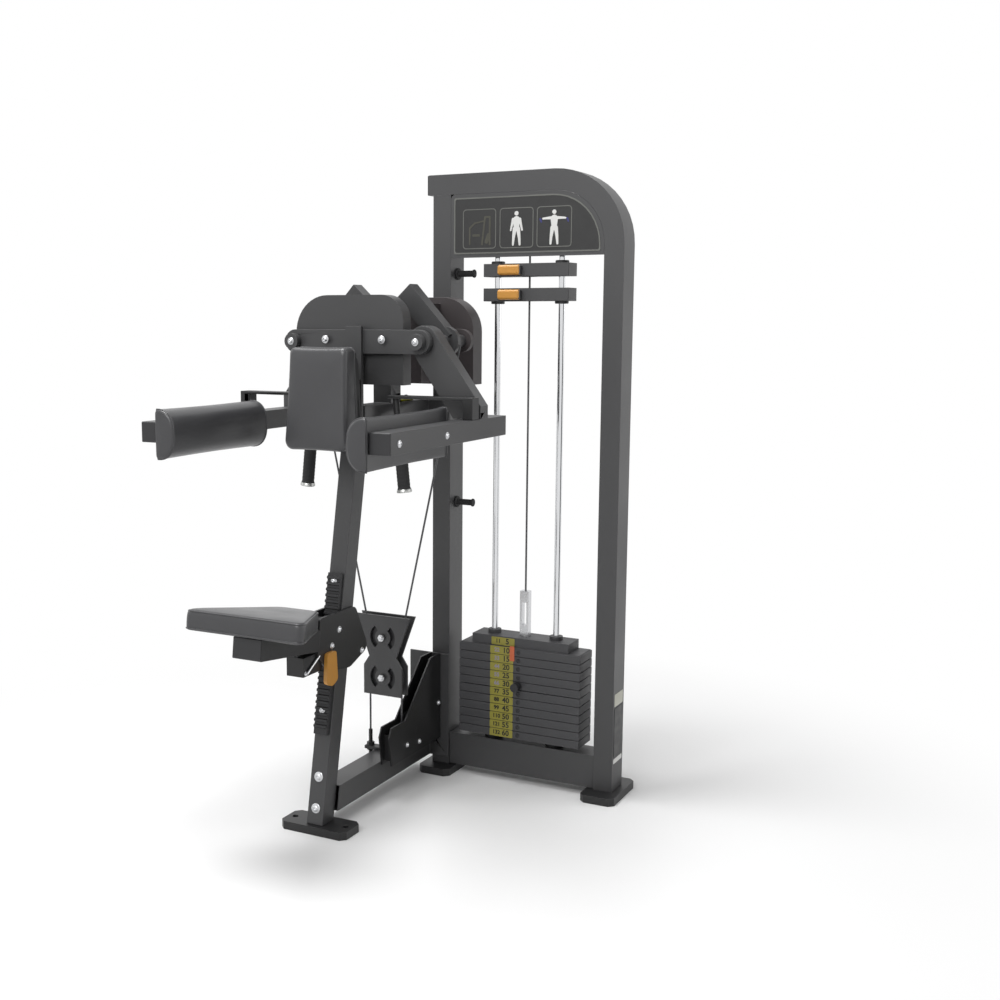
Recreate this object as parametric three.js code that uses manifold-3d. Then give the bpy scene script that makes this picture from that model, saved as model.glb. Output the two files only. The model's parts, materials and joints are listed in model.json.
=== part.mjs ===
import * as THREE from "three";
import { mergeVertices } from "three/addons/utils/BufferGeometryUtils.js";
import Module from "manifold-3d";

// Lateral raise machine with a weight stack tower. Millimetres, +Z up.
// The origin is the centre of the left tower foot, on the floor. +X runs along the tower to the right,
// +Y away from the user's seat.

const wasm = await Module();
wasm.setup();

// Shared clearances and fineness
const fitGap = 0.3;
const overrun = 8;
const mergeDistance = 0.001;
const roundSides = 16;
const smallSides = 12;
const cornerSteps = 6;

// Tower
const tubeWidth = 50;
const tubeDepth = 75;
const tubeWall = 3;
const towerHeight = 1554;
const towerSpan = 458;
const bendRadius = 180;
const beamOverhang = 13;
const footWidth = 90;
const footLength = 170;
const footThickness = 20;
const footChamfer = 12;
const crossTubeLow = 22;
const crossTubeHigh = 108;
const crossTubeDepth = 70;

// Panel under the top beam
const panelHeight = 156;
const panelThickness = 3;
const shelfThickness = 6;
const shelfDepth = 52;

// Pivot line of both arms, which the head, the arms and the chest pad follow
const pivotHeight = 1144;
const pivotSpread = 170;

// Seat post and beams
const stationOffset = -60;
const lean = THREE.MathUtils.degToRad(10.9);
const postWidth = 44;
const postDepth = 50;
const postFrontAtFloor = -567.7;
const frontFootWidth = 180;
const frontFootLength = 80;
const frontFootCentre = -542;
const footBoltRadius = 7;
const footBoltSpacing = 140;
const baseBeamWidth = 60;
const baseBeamLow = 40;
const baseBeamHeight = 60;
const flangeThickness = 5;
const flangeRise = 322;
const platformWidth = 50;
const platformHeight = 50;
const platformDrop = 151;
const platformTop = pivotHeight - platformDrop;
const platformFlangeRise = 80;
const columnHeight = 47;
const columnFront = -240;
const columnLength = 50;

// Head
const shaftRadius = 15;
const shaftHeadLength = 8;
const shaftTail = 4;
const bearingBarFront = -366;
const bearingBarThickness = 16;
const bearingBarHeight = 56;
const bearingBarMargin = 28;
const strutWidth = 44;
const strutThickness = 10;
const strutRise = 36;
const strutTop = pivotHeight + strutRise;
const hoodLeft = 176;
const hoodRight = 120;
const hoodSkirt = 101;
const hoodRise = 109;
const hoodLow = pivotHeight - hoodSkirt;
const hoodTop = pivotHeight + hoodRise;
const hoodDepth = 38;
const hoodRadius = 88;
const hoodRightRadius = 60;
const sheetWall = 3;
const housingHalf = 174;
const housingSkirt = 110;
const housingRise = 106;
const housingLow = pivotHeight - housingSkirt;
const housingTop = pivotHeight + housingRise;
const housingRadius = 85;
const housingFront = -88;
const boxHalf = 82;
const boxRise = 91;
const boxTop = pivotHeight + boxRise;
const boxFront = -190;
const rearBarFront = -150;

// Chest pad
const chestTopHalf = 74;
const chestBottomHalf = 88;
const chestDrop = 256;
const chestHeight = 246;
const chestLow = pivotHeight - chestDrop;
const chestTop = chestLow + chestHeight;
const chestBack = -464;
const chestThickness = 55;
const chestCorner = 26;
const boardThickness = 8;
const boardMargin = 14;
const chestTubeHalf = 20;
const chestTubeDrop = 169;
const chestTubeHeight = 80;
const chestTubeLow = pivotHeight - chestTubeDrop;
const chestTubeTop = chestTubeLow + chestTubeHeight;

// Arms
const leverWidth = 75;
const leverThickness = 40;
const rightLeverFront = -346;
const leftLeverFront = -199;
const armTubeWidth = 50;
const armTubeHeight = 46;
const armTubeOuter = 319;
const armTubeDrop = 219;
const armTubeLow = pivotHeight - armTubeDrop;
const armTubeFront = -760;
const rightTubeEnd = -206;
const leftTubeEnd = -155;
const counterLength = 162;
const counterWidth = 50;
const counterFront = -242;
const counterThickness = 39;
const counterAngle = THREE.MathUtils.degToRad(132.6);
const camThickness = 16;
const camTravelRadius = 38;
const padFront = -775;
const padLength = 385;
const padHeight = 123;
const padDepth = 48;
const padDrop = 36;
const padLow = armTubeLow - padDrop;
const padCorner = 22;
const bracketThickness = 7;
const bracketRise = 43;
const bracketDepth = 34;
const bracketInner = 98;
const handleY = -371;
const handleTopReach = 112;
const handleLowReach = 135;
const handleDrop = 130;
const handleLow = armTubeLow - handleDrop;
const handleRodRadius = 8;
const gripRadius = 14;
const gripShare = 0.52;

// Cables and pulleys
const cableRadius = 2.5;
const cableSides = 8;
const cableStep = THREE.MathUtils.degToRad(9);
const pulleyWidth = 16;
const flangeReach = 4;
const axleRadius = 6;
const yokePlane = -226;
const yokeUpperHeight = 401;
const yokeAxleSpacing = 104;
const yokeLowerHeight = yokeUpperHeight - yokeAxleSpacing;
const upperPulleyTravel = 44;
const lowerPulleyTravel = 46;
const towerPulleyTravel = 48;
const yokePlateThickness = 5;
const yokePlateGap = 24;
const yokeHeadroom = 56;
const yokeSkirt = 47;
const yokeTop = yokeUpperHeight + yokeHeadroom;
const yokeBottom = yokeLowerHeight - yokeSkirt;
const yokeTopHalf = 78;
const yokeWaistHalf = 39;
const yokeWaistDrop = 51;
const yokeWaistHeight = yokeUpperHeight - yokeWaistDrop;
const yokeLowHalf = 55;
const yokeShoulderRise = 29;
const yokeLowShoulder = yokeLowerHeight + yokeShoulderRise;
const crescentInner = 22;
const crescentOuter = 36;
const crescentSpread = THREE.MathUtils.degToRad(52);
const basePulleyHeight = 150;
const topPulleyDrop = 114;
const topPulleyHeight = towerHeight - topPulleyDrop;
const shelfClearance = 2;
const shelfDrop =
  topPulleyDrop - tubeWidth + towerPulleyTravel + flangeReach + shelfClearance + shelfThickness;
const hangerThickness = 4;
const hangerDepth = 22;
const hangerEnd = 12;
const hangerDrop = topPulleyDrop - tubeWidth + hangerEnd;
const housingPlateThickness = 4;
const housingPlateGap = 23.4;
const housingNose = -318;
const housingNoseHeight = 190;
const housingSlopeStart = -235;
const anchorPlateThickness = 8;
const anchorPlateDepth = 24;
const anchorRodRadius = 5;
const anchorNutRadius = 10;
const anchorNutHeight = 9;

// Weight stack
const stackOffset = 1;
const stackCentre = towerSpan / 2 - stackOffset;
const stackPlane = -5;
const stackSideRoom = 36;
const stackWidth = towerSpan - tubeWidth - 2 * stackSideRoom;
const stackDepth = 84;
const plateCountResting = 6;
const plateCountLifted = 5;
const platePitch = 22;
const plateGroove = 2;
const plateInset = 3;
const bumperHeight = 14;
const bumperRadius = 24;
const rodRadius = 8;
const rodSpread = 86;
const rodPlay = 1;
const selectorRadius = 10;
const headWidth = 268;
const headDepth = 70;
const headThickness = 24;
const bushRadius = 17;
const bushHeight = 10;
const clevisHeight = 119;
const clevisWidth = 24;
const clevisDepth = 18;
const clevisWindow = 12;
const pinRadius = 4.5;
const pinKnobRadius = 11;
const pinKnobLength = 24;
const pinKnobGap = 3;
const pinReach = 50;
const addOnWidth = 228;
const addOnDepth = 55;
const addOnHeight = 32;
const addOnDrop = 254;
const addOnPitch = 60;
const addOnUpper = towerHeight - addOnDrop;
const addOnLower = addOnUpper - addOnPitch;
const addOnBore = 21;
const addOnHandleWidth = 64;
const addOnHandleDepth = 15;
const addOnHandleHeight = 22;
const pegRadius = 8;
const pegFlangeRadius = 15;
const pegFlange = 5;
const pegLength = 50;
const pegDrop = 244;
const pegSpacing = 586;
const pegUpper = towerHeight - pegDrop;
const pegLower = pegUpper - pegSpacing;

// Seat
const seatTilt = THREE.MathUtils.degToRad(7.3);
const seatNear = -829;
const seatLow = 528;
const seatThickness = 50;
const seatLength = 228;
const seatNearHalf = 153;
const seatFarHalf = 48;
const seatCorner = 34;
const panHalf = 37;
const panHeight = 48;
const panFront = 12;
const railHalf = 18;
const railThickness = 12;
const railRib = 4;
const railPitch = 14;
const railLow = 230;
const railTop = 604;
const cheekThickness = 6;
const cheekFront = -588;
const cheekTop = 521;
const cheekLow = 377;
const cheekTip = -361;
const cheekEdgeRadius = 4;
const cheekCornerRadius = 14;
const cheekHeelRadius = 10;
const cheekTipRadius = 26;
const cheekTopRadius = 8;
const blockBack = -513;
const blockLow = 408;
const latchLow = 385;
const latchTop = 441;
const latchFront = -640;
const springRadius = 10;
const springBore = 6.3;
const springRodRadius = 5;
const springOffset = 13;
const springLow = 520;
const springTop = 738;
const springEnd = 7;
const springMountLength = 26;
const springPinHeight = 402;
const springPinHalf = 9;
const springInsertion = 118;
const releaseTop = 436;
const releaseLow = 354;
const releaseFront = -566;
const releaseBack = -516;
const releaseThickness = 9;

// Derived places
const halfTube = tubeWidth / 2;
const halfDepth = tubeDepth / 2;
const frontFace = -halfDepth;
const beamLow = towerHeight - tubeWidth;
const rightInner = towerSpan - halfTube;
const rightOuter = towerSpan + halfTube;
const bendInner = bendRadius - tubeWidth;
const bendX = rightOuter - bendRadius;
const bendZ = towerHeight - bendRadius;
const beamLeft = -halfTube - beamOverhang;
const slope = Math.tan(lean);
const postRun = postDepth / Math.cos(lean);
const platformLow = platformTop - platformHeight;
const postTop = platformLow - fitGap;
const flangeFront = frontFace - flangeThickness;
const cableX = stationOffset + lowerPulleyTravel;
const anchorX = stationOffset - lowerPulleyTravel;
const strutFront = bearingBarFront - strutThickness;
const stackLow = crossTubeHigh + bumperHeight;
const liftedLow = stackLow + plateCountResting * platePitch;
const headLow = liftedLow + plateCountLifted * platePitch;
const headTop = headLow + headThickness;
const clevisTop = headTop + clevisHeight;
const shelfTop = beamLow - shelfDrop;
const padBack = armTubeOuter - armTubeWidth - fitGap;
const armTubeTop = armTubeLow + armTubeHeight;

function postFront(z) {
  return postFrontAtFloor + (z - footThickness) * slope;
}

// Materials
function paint(color, roughness, metalness) {
  return new THREE.MeshStandardMaterial({ color, roughness, metalness });
}
const framePaint = paint("#4b4b4c", 0.55, 0.3);
const blackPaint = paint("#232324", 0.5, 0.3);
const upholstery = paint("#39393b", 0.75, 0);
const rubber = paint("#1b1b1c", 0.85, 0);
const chrome = paint("#c9cccf", 0.18, 1);
const castIron = paint("#333335", 0.6, 0.5);
const orange = paint("#c1893c", 0.5, 0);
const cableSteel = paint("#2b2b2d", 0.5, 0.2);
const bareSteel = paint("#9a9c9e", 0.35, 1);

// Solid helpers
function toSolid(geometry) {
  const bare = geometry.clone();
  bare.deleteAttribute("normal");
  bare.deleteAttribute("uv");
  const merged = mergeVertices(bare, mergeDistance);
  return new wasm.Manifold(
    new wasm.Mesh({
      numProp: 3,
      vertProperties: Float32Array.from(merged.attributes.position.array),
      triVerts: Uint32Array.from(merged.index.array),
    }),
  );
}

function toGeometry(solid) {
  const mesh = solid.getMesh();
  const geometry = new THREE.BufferGeometry();
  geometry.setAttribute("position", new THREE.BufferAttribute(mesh.vertProperties, mesh.numProp));
  geometry.setIndex(new THREE.BufferAttribute(mesh.triVerts, 1));
  const flat = geometry.toNonIndexed();
  flat.computeVertexNormals();
  return flat;
}

function join(...geometries) {
  return toGeometry(geometries.map(toSolid).reduce((a, b) => a.add(b)));
}

function cut(base, ...tools) {
  return toGeometry(tools.map(toSolid).reduce((a, b) => a.subtract(b), toSolid(base)));
}

function box(x0, x1, y0, y1, z0, z1) {
  const geometry = new THREE.BoxGeometry(x1 - x0, y1 - y0, z1 - z0);
  return geometry.translate((x0 + x1) / 2, (y0 + y1) / 2, (z0 + z1) / 2);
}

function outline(points) {
  return new THREE.Shape(points.map(([u, v]) => new THREE.Vector2(u, v)));
}

function extrude(shape, depth, steps = cornerSteps) {
  return new THREE.ExtrudeGeometry(shape, { depth, bevelEnabled: false, curveSegments: steps });
}

// A shape drawn in X and Z, extruded along Y
function alongY(shape, y0, y1) {
  return extrude(shape, y1 - y0).rotateX(Math.PI / 2).translate(0, y1, 0);
}

// A shape drawn in Y and Z, extruded along X
function alongX(shape, x0, x1) {
  const turn = new THREE.Matrix4().makeBasis(
    new THREE.Vector3(0, 1, 0),
    new THREE.Vector3(0, 0, 1),
    new THREE.Vector3(1, 0, 0),
  );
  return extrude(shape, x1 - x0).applyMatrix4(turn).translate(x0, 0, 0);
}

function rodZ(x, y, radius, z0, z1, sides = roundSides) {
  const geometry = new THREE.CylinderGeometry(radius, radius, z1 - z0, sides);
  return geometry.rotateX(Math.PI / 2).translate(x, y, (z0 + z1) / 2);
}

function rodY(x, z, radius, y0, y1, sides = roundSides) {
  const geometry = new THREE.CylinderGeometry(radius, radius, y1 - y0, sides);
  return geometry.translate(x, (y0 + y1) / 2, z);
}

function rodX(y, z, radius, x0, x1, sides = roundSides) {
  const geometry = new THREE.CylinderGeometry(radius, radius, x1 - x0, sides);
  return geometry.rotateZ(Math.PI / 2).translate((x0 + x1) / 2, y, z);
}

function rodBetween(from, to, radius, sides = smallSides) {
  const start = new THREE.Vector3(...from);
  const end = new THREE.Vector3(...to);
  const along = end.clone().sub(start);
  const geometry = new THREE.CylinderGeometry(radius, radius, along.length(), sides);
  const up = new THREE.Vector3(0, 1, 0);
  geometry.applyQuaternion(new THREE.Quaternion().setFromUnitVectors(up, along.normalize()));
  return geometry.translate(...start.add(end).multiplyScalar(1 / 2).toArray());
}

function roundedOutline(points, radii) {
  const shape = new THREE.Shape();
  points.forEach(([u, v], i) => {
    const before = points[(i + points.length - 1) % points.length];
    const after = points[(i + 1) % points.length];
    const corner = new THREE.Vector2(u, v);
    const into = new THREE.Vector2(...before).sub(corner).normalize().multiplyScalar(radii[i]).add(corner);
    const out = new THREE.Vector2(...after).sub(corner).normalize().multiplyScalar(radii[i]).add(corner);
    if (i === 0) shape.moveTo(into.x, into.y);
    else shape.lineTo(into.x, into.y);
    if (radii[i] > 0) shape.quadraticCurveTo(u, v, out.x, out.y);
  });
  shape.closePath();
  return shape;
}

function tombstone(left, right, low, high, leftRadius, rightRadius) {
  const shape = new THREE.Shape();
  shape.moveTo(left, low);
  shape.lineTo(right, low);
  shape.lineTo(right, high - rightRadius);
  shape.absarc(right - rightRadius, high - rightRadius, rightRadius, 0, Math.PI / 2, false);
  shape.lineTo(left + leftRadius, high);
  shape.absarc(left + leftRadius, high - leftRadius, leftRadius, Math.PI / 2, Math.PI, false);
  shape.closePath();
  return shape;
}

function chamferedPlate(width, length, thickness, chamfer) {
  const w = width / 2;
  const l = length / 2;
  const shape = outline([
    [-w + chamfer, -l],
    [w - chamfer, -l],
    [w, -l + chamfer],
    [w, l - chamfer],
    [w - chamfer, l],
    [-w + chamfer, l],
    [-w, l - chamfer],
    [-w, -l + chamfer],
  ]);
  return extrude(shape, thickness);
}

function squareTubeX(x0, x1, y0, y1, z0, z1, wall) {
  const bore = box(x0 - overrun, x1 + overrun, y0 + wall, y1 - wall, z0 + wall, z1 - wall);
  return cut(box(x0, x1, y0, y1, z0, z1), bore);
}

// A route of straight runs and arcs, given as the points that its cable passes
class Route extends THREE.Curve {
  constructor(points) {
    super();
    this.points = points;
  }
  getSpacedPoints() {
    return this.points.map((p) => p.clone());
  }
  getTangentAt(share) {
    const last = this.points.length - 1;
    const i = Math.round(share * last);
    const before = this.points[Math.max(i - 1, 0)];
    const after = this.points[Math.min(i + 1, last)];
    return after.clone().sub(before).normalize();
  }
  getPoint(share) {
    return this.points[Math.round(share * (this.points.length - 1))].clone();
  }
}

function cable(points) {
  const section = [];
  for (let i = 0; i < cableSides; i += 1) {
    const angle = (i / cableSides) * Math.PI * 2;
    section.push([Math.cos(angle) * cableRadius, Math.sin(angle) * cableRadius]);
  }
  return new THREE.ExtrudeGeometry(outline(section), {
    steps: points.length - 1,
    bevelEnabled: false,
    extrudePath: new Route(points),
  });
}

// Points of an arc; place turns the two plane coordinates into a point of the part
function arc(centreU, centreV, radius, from, to, place) {
  const count = Math.max(Math.ceil(Math.abs(to - from) / cableStep), 1);
  const points = [];
  for (let i = 0; i <= count; i += 1) {
    const angle = from + ((to - from) * i) / count;
    points.push(place(centreU + Math.cos(angle) * radius, centreV + Math.sin(angle) * radius));
  }
  return points;
}

// A grooved pulley with a bore, its axis along Y
function pulley(travel, bore, hasAxle, axleHalf) {
  const half = pulleyWidth / 2;
  const groove = travel - cableRadius - fitGap;
  const rim = travel + flangeReach;
  const seat = cableRadius + fitGap;
  const inner = hasAxle ? 0 : bore;
  const profile = [
    [inner, -half],
    [rim, -half],
    [rim, -half + flangeReach / 2],
    [groove, -seat],
    [groove, seat],
    [rim, half - flangeReach / 2],
    [rim, half],
    [inner, half],
  ];
  if (!hasAxle) profile.push([inner, -half]);
  const wheel = new THREE.LatheGeometry(
    profile.map(([r, h]) => new THREE.Vector2(r, h)),
    smallSides * 2,
  );
  if (!hasAxle) return toGeometry(toSolid(wheel));
  return join(wheel, rodY(0, 0, axleRadius, -axleHalf, axleHalf, smallSides));
}

// A stuffed cushion: rings of one outline, drawn in at the back, swelling at the sides and crowned
// in front.
// Each ring is [inset along u, inset along v, height share].
function cushion(shape, steps, thickness, rings, place) {
  const loop = shape.getPoints(steps);
  if (loop[0].distanceTo(loop[loop.length - 1]) < mergeDistance) loop.pop();
  const frame = new THREE.Box2().setFromPoints(loop);
  const centre = frame.getCenter(new THREE.Vector2());
  const size = frame.getSize(new THREE.Vector2());
  const positions = [];
  const triangles = [];
  const count = loop.length;
  for (const [insetU, insetV, share] of rings) {
    for (const p of loop) {
      const u = centre.x + (p.x - centre.x) * (1 - (2 * insetU) / size.x);
      const v = centre.y + (p.y - centre.y) * (1 - (2 * insetV) / size.y);
      positions.push(...place(u, v, thickness * share));
    }
  }
  for (let r = 0; r < rings.length - 1; r += 1) {
    for (let i = 0; i < count; i += 1) {
      const a = r * count + i;
      const b = r * count + ((i + 1) % count);
      triangles.push(a, b, b + count, a, b + count, a + count);
    }
  }
  const back = positions.length / 3;
  positions.push(...place(centre.x, centre.y, 0));
  const front = back + 1;
  positions.push(...place(centre.x, centre.y, thickness));
  const lastRing = (rings.length - 1) * count;
  for (let i = 0; i < count; i += 1) {
    const next = (i + 1) % count;
    triangles.push(back, next, i);
    triangles.push(front, lastRing + i, lastRing + next);
  }
  const geometry = new THREE.BufferGeometry();
  geometry.setAttribute("position", new THREE.Float32BufferAttribute(positions, 3));
  geometry.setIndex(triangles);
  return geometry.toNonIndexed();
}

const model = new THREE.Group();
model.name = "lateral_raise_machine";

function add(name, geometry, material, parent = model) {
  geometry.computeVertexNormals();
  const mesh = new THREE.Mesh(geometry, material);
  mesh.name = name;
  parent.add(mesh);
  return mesh;
}

// Tower: the left upright is one tube, and the top beam, bend and right upright are one bent tube
function archOutline(inset, extra) {
  const shape = new THREE.Shape();
  shape.moveTo(beamLeft - extra, beamLow + inset);
  shape.lineTo(beamLeft - extra, towerHeight - inset);
  shape.lineTo(bendX, towerHeight - inset);
  shape.absarc(bendX, bendZ, bendRadius - inset, Math.PI / 2, 0, true);
  shape.lineTo(rightOuter - inset, footThickness - extra);
  shape.lineTo(rightInner + inset, footThickness - extra);
  shape.lineTo(rightInner + inset, bendZ);
  shape.absarc(bendX, bendZ, bendInner + inset, 0, Math.PI / 2, false);
  shape.closePath();
  return shape;
}

const topPulleyX = cableX + towerPulleyTravel;
const stackPulleyX = stackCentre - towerPulleyTravel;
const hangerLow = beamLow - hangerDrop;
const hangerRight = stackPulleyX + hangerDepth;
const hangers = [1, -1].map((side) => {
  const near = stackPlane + (side * hangerDepth) / 2;
  const far = near + side * hangerThickness;
  const left = halfTube + fitGap;
  const low = Math.min(near, far);
  return box(left, hangerRight, low, low + hangerThickness, hangerLow, beamLow + tubeWall / 2);
});
const hangerBores = [topPulleyX, stackPulleyX].map((x) =>
  rodY(
    x, topPulleyHeight, axleRadius + fitGap, stackPlane - hangerDepth, stackPlane + hangerDepth,
    smallSides,
  ),
);
const archTube = cut(
  alongY(archOutline(0, 0), frontFace, halfDepth),
  alongY(archOutline(tubeWall, overrun), frontFace + tubeWall, halfDepth - tubeWall),
);
add("tower_arch", cut(join(archTube, ...hangers), ...hangerBores), framePaint);

const rearPulleyY = stackPlane - towerPulleyTravel;
const frontPulleyY = yokePlane + towerPulleyTravel;
const slotReach = towerPulleyTravel + flangeReach + overrun / 2;
const slotHalf = pulleyWidth / 2 + fitGap * 2;
const uprightBore = box(
  -halfTube + tubeWall,
  halfTube - tubeWall,
  frontFace + tubeWall,
  halfDepth - tubeWall,
  footThickness - overrun,
  beamLow + overrun,
);
const lowSlot = box(
  cableX - slotHalf,
  cableX + slotHalf,
  flangeFront - overrun,
  stackPlane,
  basePulleyHeight - slotReach,
  basePulleyHeight + slotReach,
);
const highSlot = box(
  0,
  halfTube + overrun,
  stackPlane - slotHalf,
  stackPlane + slotHalf,
  topPulleyHeight - slotReach,
  topPulleyHeight + slotReach,
);
add(
  "left_upright",
  cut(box(
    -halfTube, halfTube, frontFace, halfDepth, footThickness, beamLow,
  ), uprightBore, lowSlot, highSlot),
  framePaint,
);
add("left_foot", chamferedPlate(footWidth, footLength, footThickness, footChamfer), blackPaint);
const rightFoot = add(
  "right_foot", chamferedPlate(footWidth, footLength, footThickness, footChamfer), blackPaint,
);
rightFoot.position.x = towerSpan;
const footBolts = [-1, 1].map((side) =>
  rodZ((side * footBoltSpacing) / 2, 0, footBoltRadius, -overrun, footThickness + overrun, smallSides),
);
const frontFoot = add(
  "front_foot",
  cut(chamferedPlate(frontFootWidth, frontFootLength, footThickness, footChamfer), ...footBolts),
  blackPaint,
);
frontFoot.position.set(stationOffset, frontFootCentre, 0);

add(
  "base_cross_tube",
  squareTubeX(
    halfTube,
    rightInner,
    -crossTubeDepth / 2,
    crossTubeDepth / 2,
    crossTubeLow,
    crossTubeHigh,
    tubeWall,
  ),
  framePaint,
);

// Panel: a front sheet with a folded shelf behind it that holds the tops of the guide rods
const panelLow = beamLow - panelHeight;
const panelRight = rightInner - fitGap;
const panelLeft = halfTube + fitGap;
const panelRadius = bendInner - fitGap;
const panelFront = frontFace;
const panelSheet = alongY(
  tombstone(panelLeft, panelRight, panelLow, beamLow - fitGap, footChamfer, panelRadius),
  panelFront,
  panelFront + panelThickness,
);
const shelfRight = stackCentre + rodSpread + bushRadius * 2;
const shelf = box(
  panelLeft,
  shelfRight,
  panelFront + panelThickness / 2,
  panelFront + shelfDepth,
  shelfTop - shelfThickness,
  shelfTop,
);
const rodPlaces = [stackCentre - rodSpread, stackCentre + rodSpread];
const shelfBores = rodPlaces.map((x) =>
  rodZ(
    x, stackPlane, rodRadius + fitGap, shelfTop - shelfThickness - overrun, shelfTop + overrun,
    smallSides * 2,
  ),
);
const cableBore = rodZ(
  stackCentre,
  stackPlane,
  cableRadius + bushHeight,
  shelfTop - shelfThickness - overrun,
  shelfTop + overrun,
  smallSides,
);
add("info_panel", cut(join(panelSheet, shelf), ...shelfBores, cableBore), blackPaint);

// Seat post, base beam with its flange, and the beam that carries the head
const postLeft = stationOffset - postWidth / 2;
const postRight = stationOffset + postWidth / 2;
function postOutline(low, high, front, back) {
  return outline([
    [postFront(low) + front, low],
    [postFront(low) + back, low],
    [postFront(high) + back, high],
    [postFront(high) + front, high],
  ]);
}
const wallRun = tubeWall / Math.cos(lean);
add(
  "seat_post",
  cut(
    alongX(postOutline(footThickness, postTop, 0, postRun), postLeft, postRight),
    alongX(
      postOutline(footThickness - overrun, postTop - tubeWall, wallRun, postRun - wallRun),
      postLeft + tubeWall,
      postRight - tubeWall,
    ),
  ),
  framePaint,
);

const baseLeft = stationOffset - baseBeamWidth / 2;
const baseRight = stationOffset + baseBeamWidth / 2;
const baseTop = baseBeamLow + baseBeamHeight;
function baseOutline(inset, extra) {
  const low = baseBeamLow + inset;
  const high = baseTop - inset;
  return outline([
    [postFront(low) + postRun + fitGap - extra, low],
    [flangeFront + extra, low],
    [flangeFront + extra, high],
    [postFront(high) + postRun + fitGap - extra, high],
  ]);
}
const baseTube = cut(
  alongX(baseOutline(0, 0), baseLeft, baseRight),
  alongX(baseOutline(tubeWall, overrun), baseLeft + tubeWall, baseRight - tubeWall),
);
const baseFlange = cut(
  box(baseLeft, halfTube, flangeFront, frontFace, baseBeamLow, flangeRise),
  lowSlot,
);
add("base_beam", join(baseTube, baseFlange), framePaint);

const platformLeft = stationOffset - platformWidth / 2;
const platformRight = stationOffset + platformWidth / 2;
const platformFront = bearingBarFront + fitGap;
const platformTube = cut(
  box(platformLeft, platformRight, platformFront, flangeFront, platformLow, platformTop),
  box(
    platformLeft + tubeWall,
    platformRight - tubeWall,
    platformFront - overrun,
    flangeFront + overrun,
    platformLow + tubeWall,
    platformTop - tubeWall,
  ),
);
const platformFlange = box(
  platformLeft,
  halfTube,
  flangeFront,
  frontFace,
  platformTop - platformFlangeRise,
  platformTop,
);
const column = box(
  platformLeft,
  platformRight,
  columnFront,
  columnFront + columnLength,
  platformTop - tubeWall / 2,
  platformTop + columnHeight,
);
add("head_beam", join(platformTube, platformFlange, column), framePaint);
// Head: rear housing with its box and rear bearing bar, front frame with the front bearing bar, and
// the hood
const left = (x) => stationOffset - x;
const right = (x) => stationOffset + x;
const housingBack = frontFace - fitGap;
const housingShell = alongY(
  tombstone(left(housingHalf), right(housingHalf), housingLow, housingTop, housingRadius, housingRadius),
  housingFront,
  housingBack,
);
const housingHollow = alongY(
  tombstone(
    left(housingHalf - sheetWall),
    right(housingHalf - sheetWall),
    housingLow + sheetWall,
    housingTop - sheetWall,
    housingRadius - sheetWall,
    housingRadius - sheetWall,
  ),
  housingFront + sheetWall,
  housingBack + overrun,
);
const boxLowSeat = platformTop + columnHeight + fitGap;
const headBox = box(left(boxHalf), right(boxHalf), boxFront, housingFront + sheetWall, boxLowSeat, boxTop);
const headHollow = box(
  left(boxHalf - sheetWall),
  right(boxHalf - sheetWall),
  boxFront + sheetWall,
  housingFront + sheetWall + overrun,
  boxLowSeat + sheetWall,
  boxTop - sheetWall,
);
function bearingBar(y0, y1) {
  const half = pivotSpread + bearingBarMargin;
  const radius = bearingBarHeight / 2;
  const shape = new THREE.Shape();
  shape.moveTo(left(half - radius), pivotHeight - radius);
  shape.lineTo(right(half - radius), pivotHeight - radius);
  shape.absarc(right(half - radius), pivotHeight, radius, -Math.PI / 2, Math.PI / 2, false);
  shape.lineTo(left(half - radius), pivotHeight + radius);
  shape.absarc(left(half - radius), pivotHeight, radius, Math.PI / 2, (Math.PI * 3) / 2, false);
  shape.closePath();
  return alongY(shape, y0, y1);
}
function pivotBores(y0, y1) {
  return [left(pivotSpread), right(pivotSpread)].map((x) =>
    rodY(x, pivotHeight, shaftRadius + fitGap, y0 - overrun, y1 + overrun),
  );
}
const rearBarBack = rearBarFront + bearingBarThickness;
const rearBody = join(cut(
  join(housingShell, headBox), housingHollow, headHollow,
), bearingBar(rearBarFront, rearBarBack));
add("rear_housing", cut(rearBody, ...pivotBores(rearBarFront, rearBarBack)), blackPaint);

const bearingBarBack = bearingBarFront + bearingBarThickness;
const strut = box(
  left(strutWidth / 2),
  right(strutWidth / 2),
  strutFront,
  bearingBarFront,
  platformLow,
  strutTop,
);
const strutWeld = box(
  left(strutWidth / 2),
  right(strutWidth / 2),
  bearingBarFront - strutThickness / 2,
  bearingBarBack,
  pivotHeight - bearingBarHeight / 2,
  pivotHeight + bearingBarHeight / 2,
);
const frontBar = join(bearingBar(bearingBarFront, bearingBarBack), strutWeld);
add("front_frame", cut(join(frontBar, strut), ...pivotBores(bearingBarFront, bearingBarBack)), framePaint);

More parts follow.
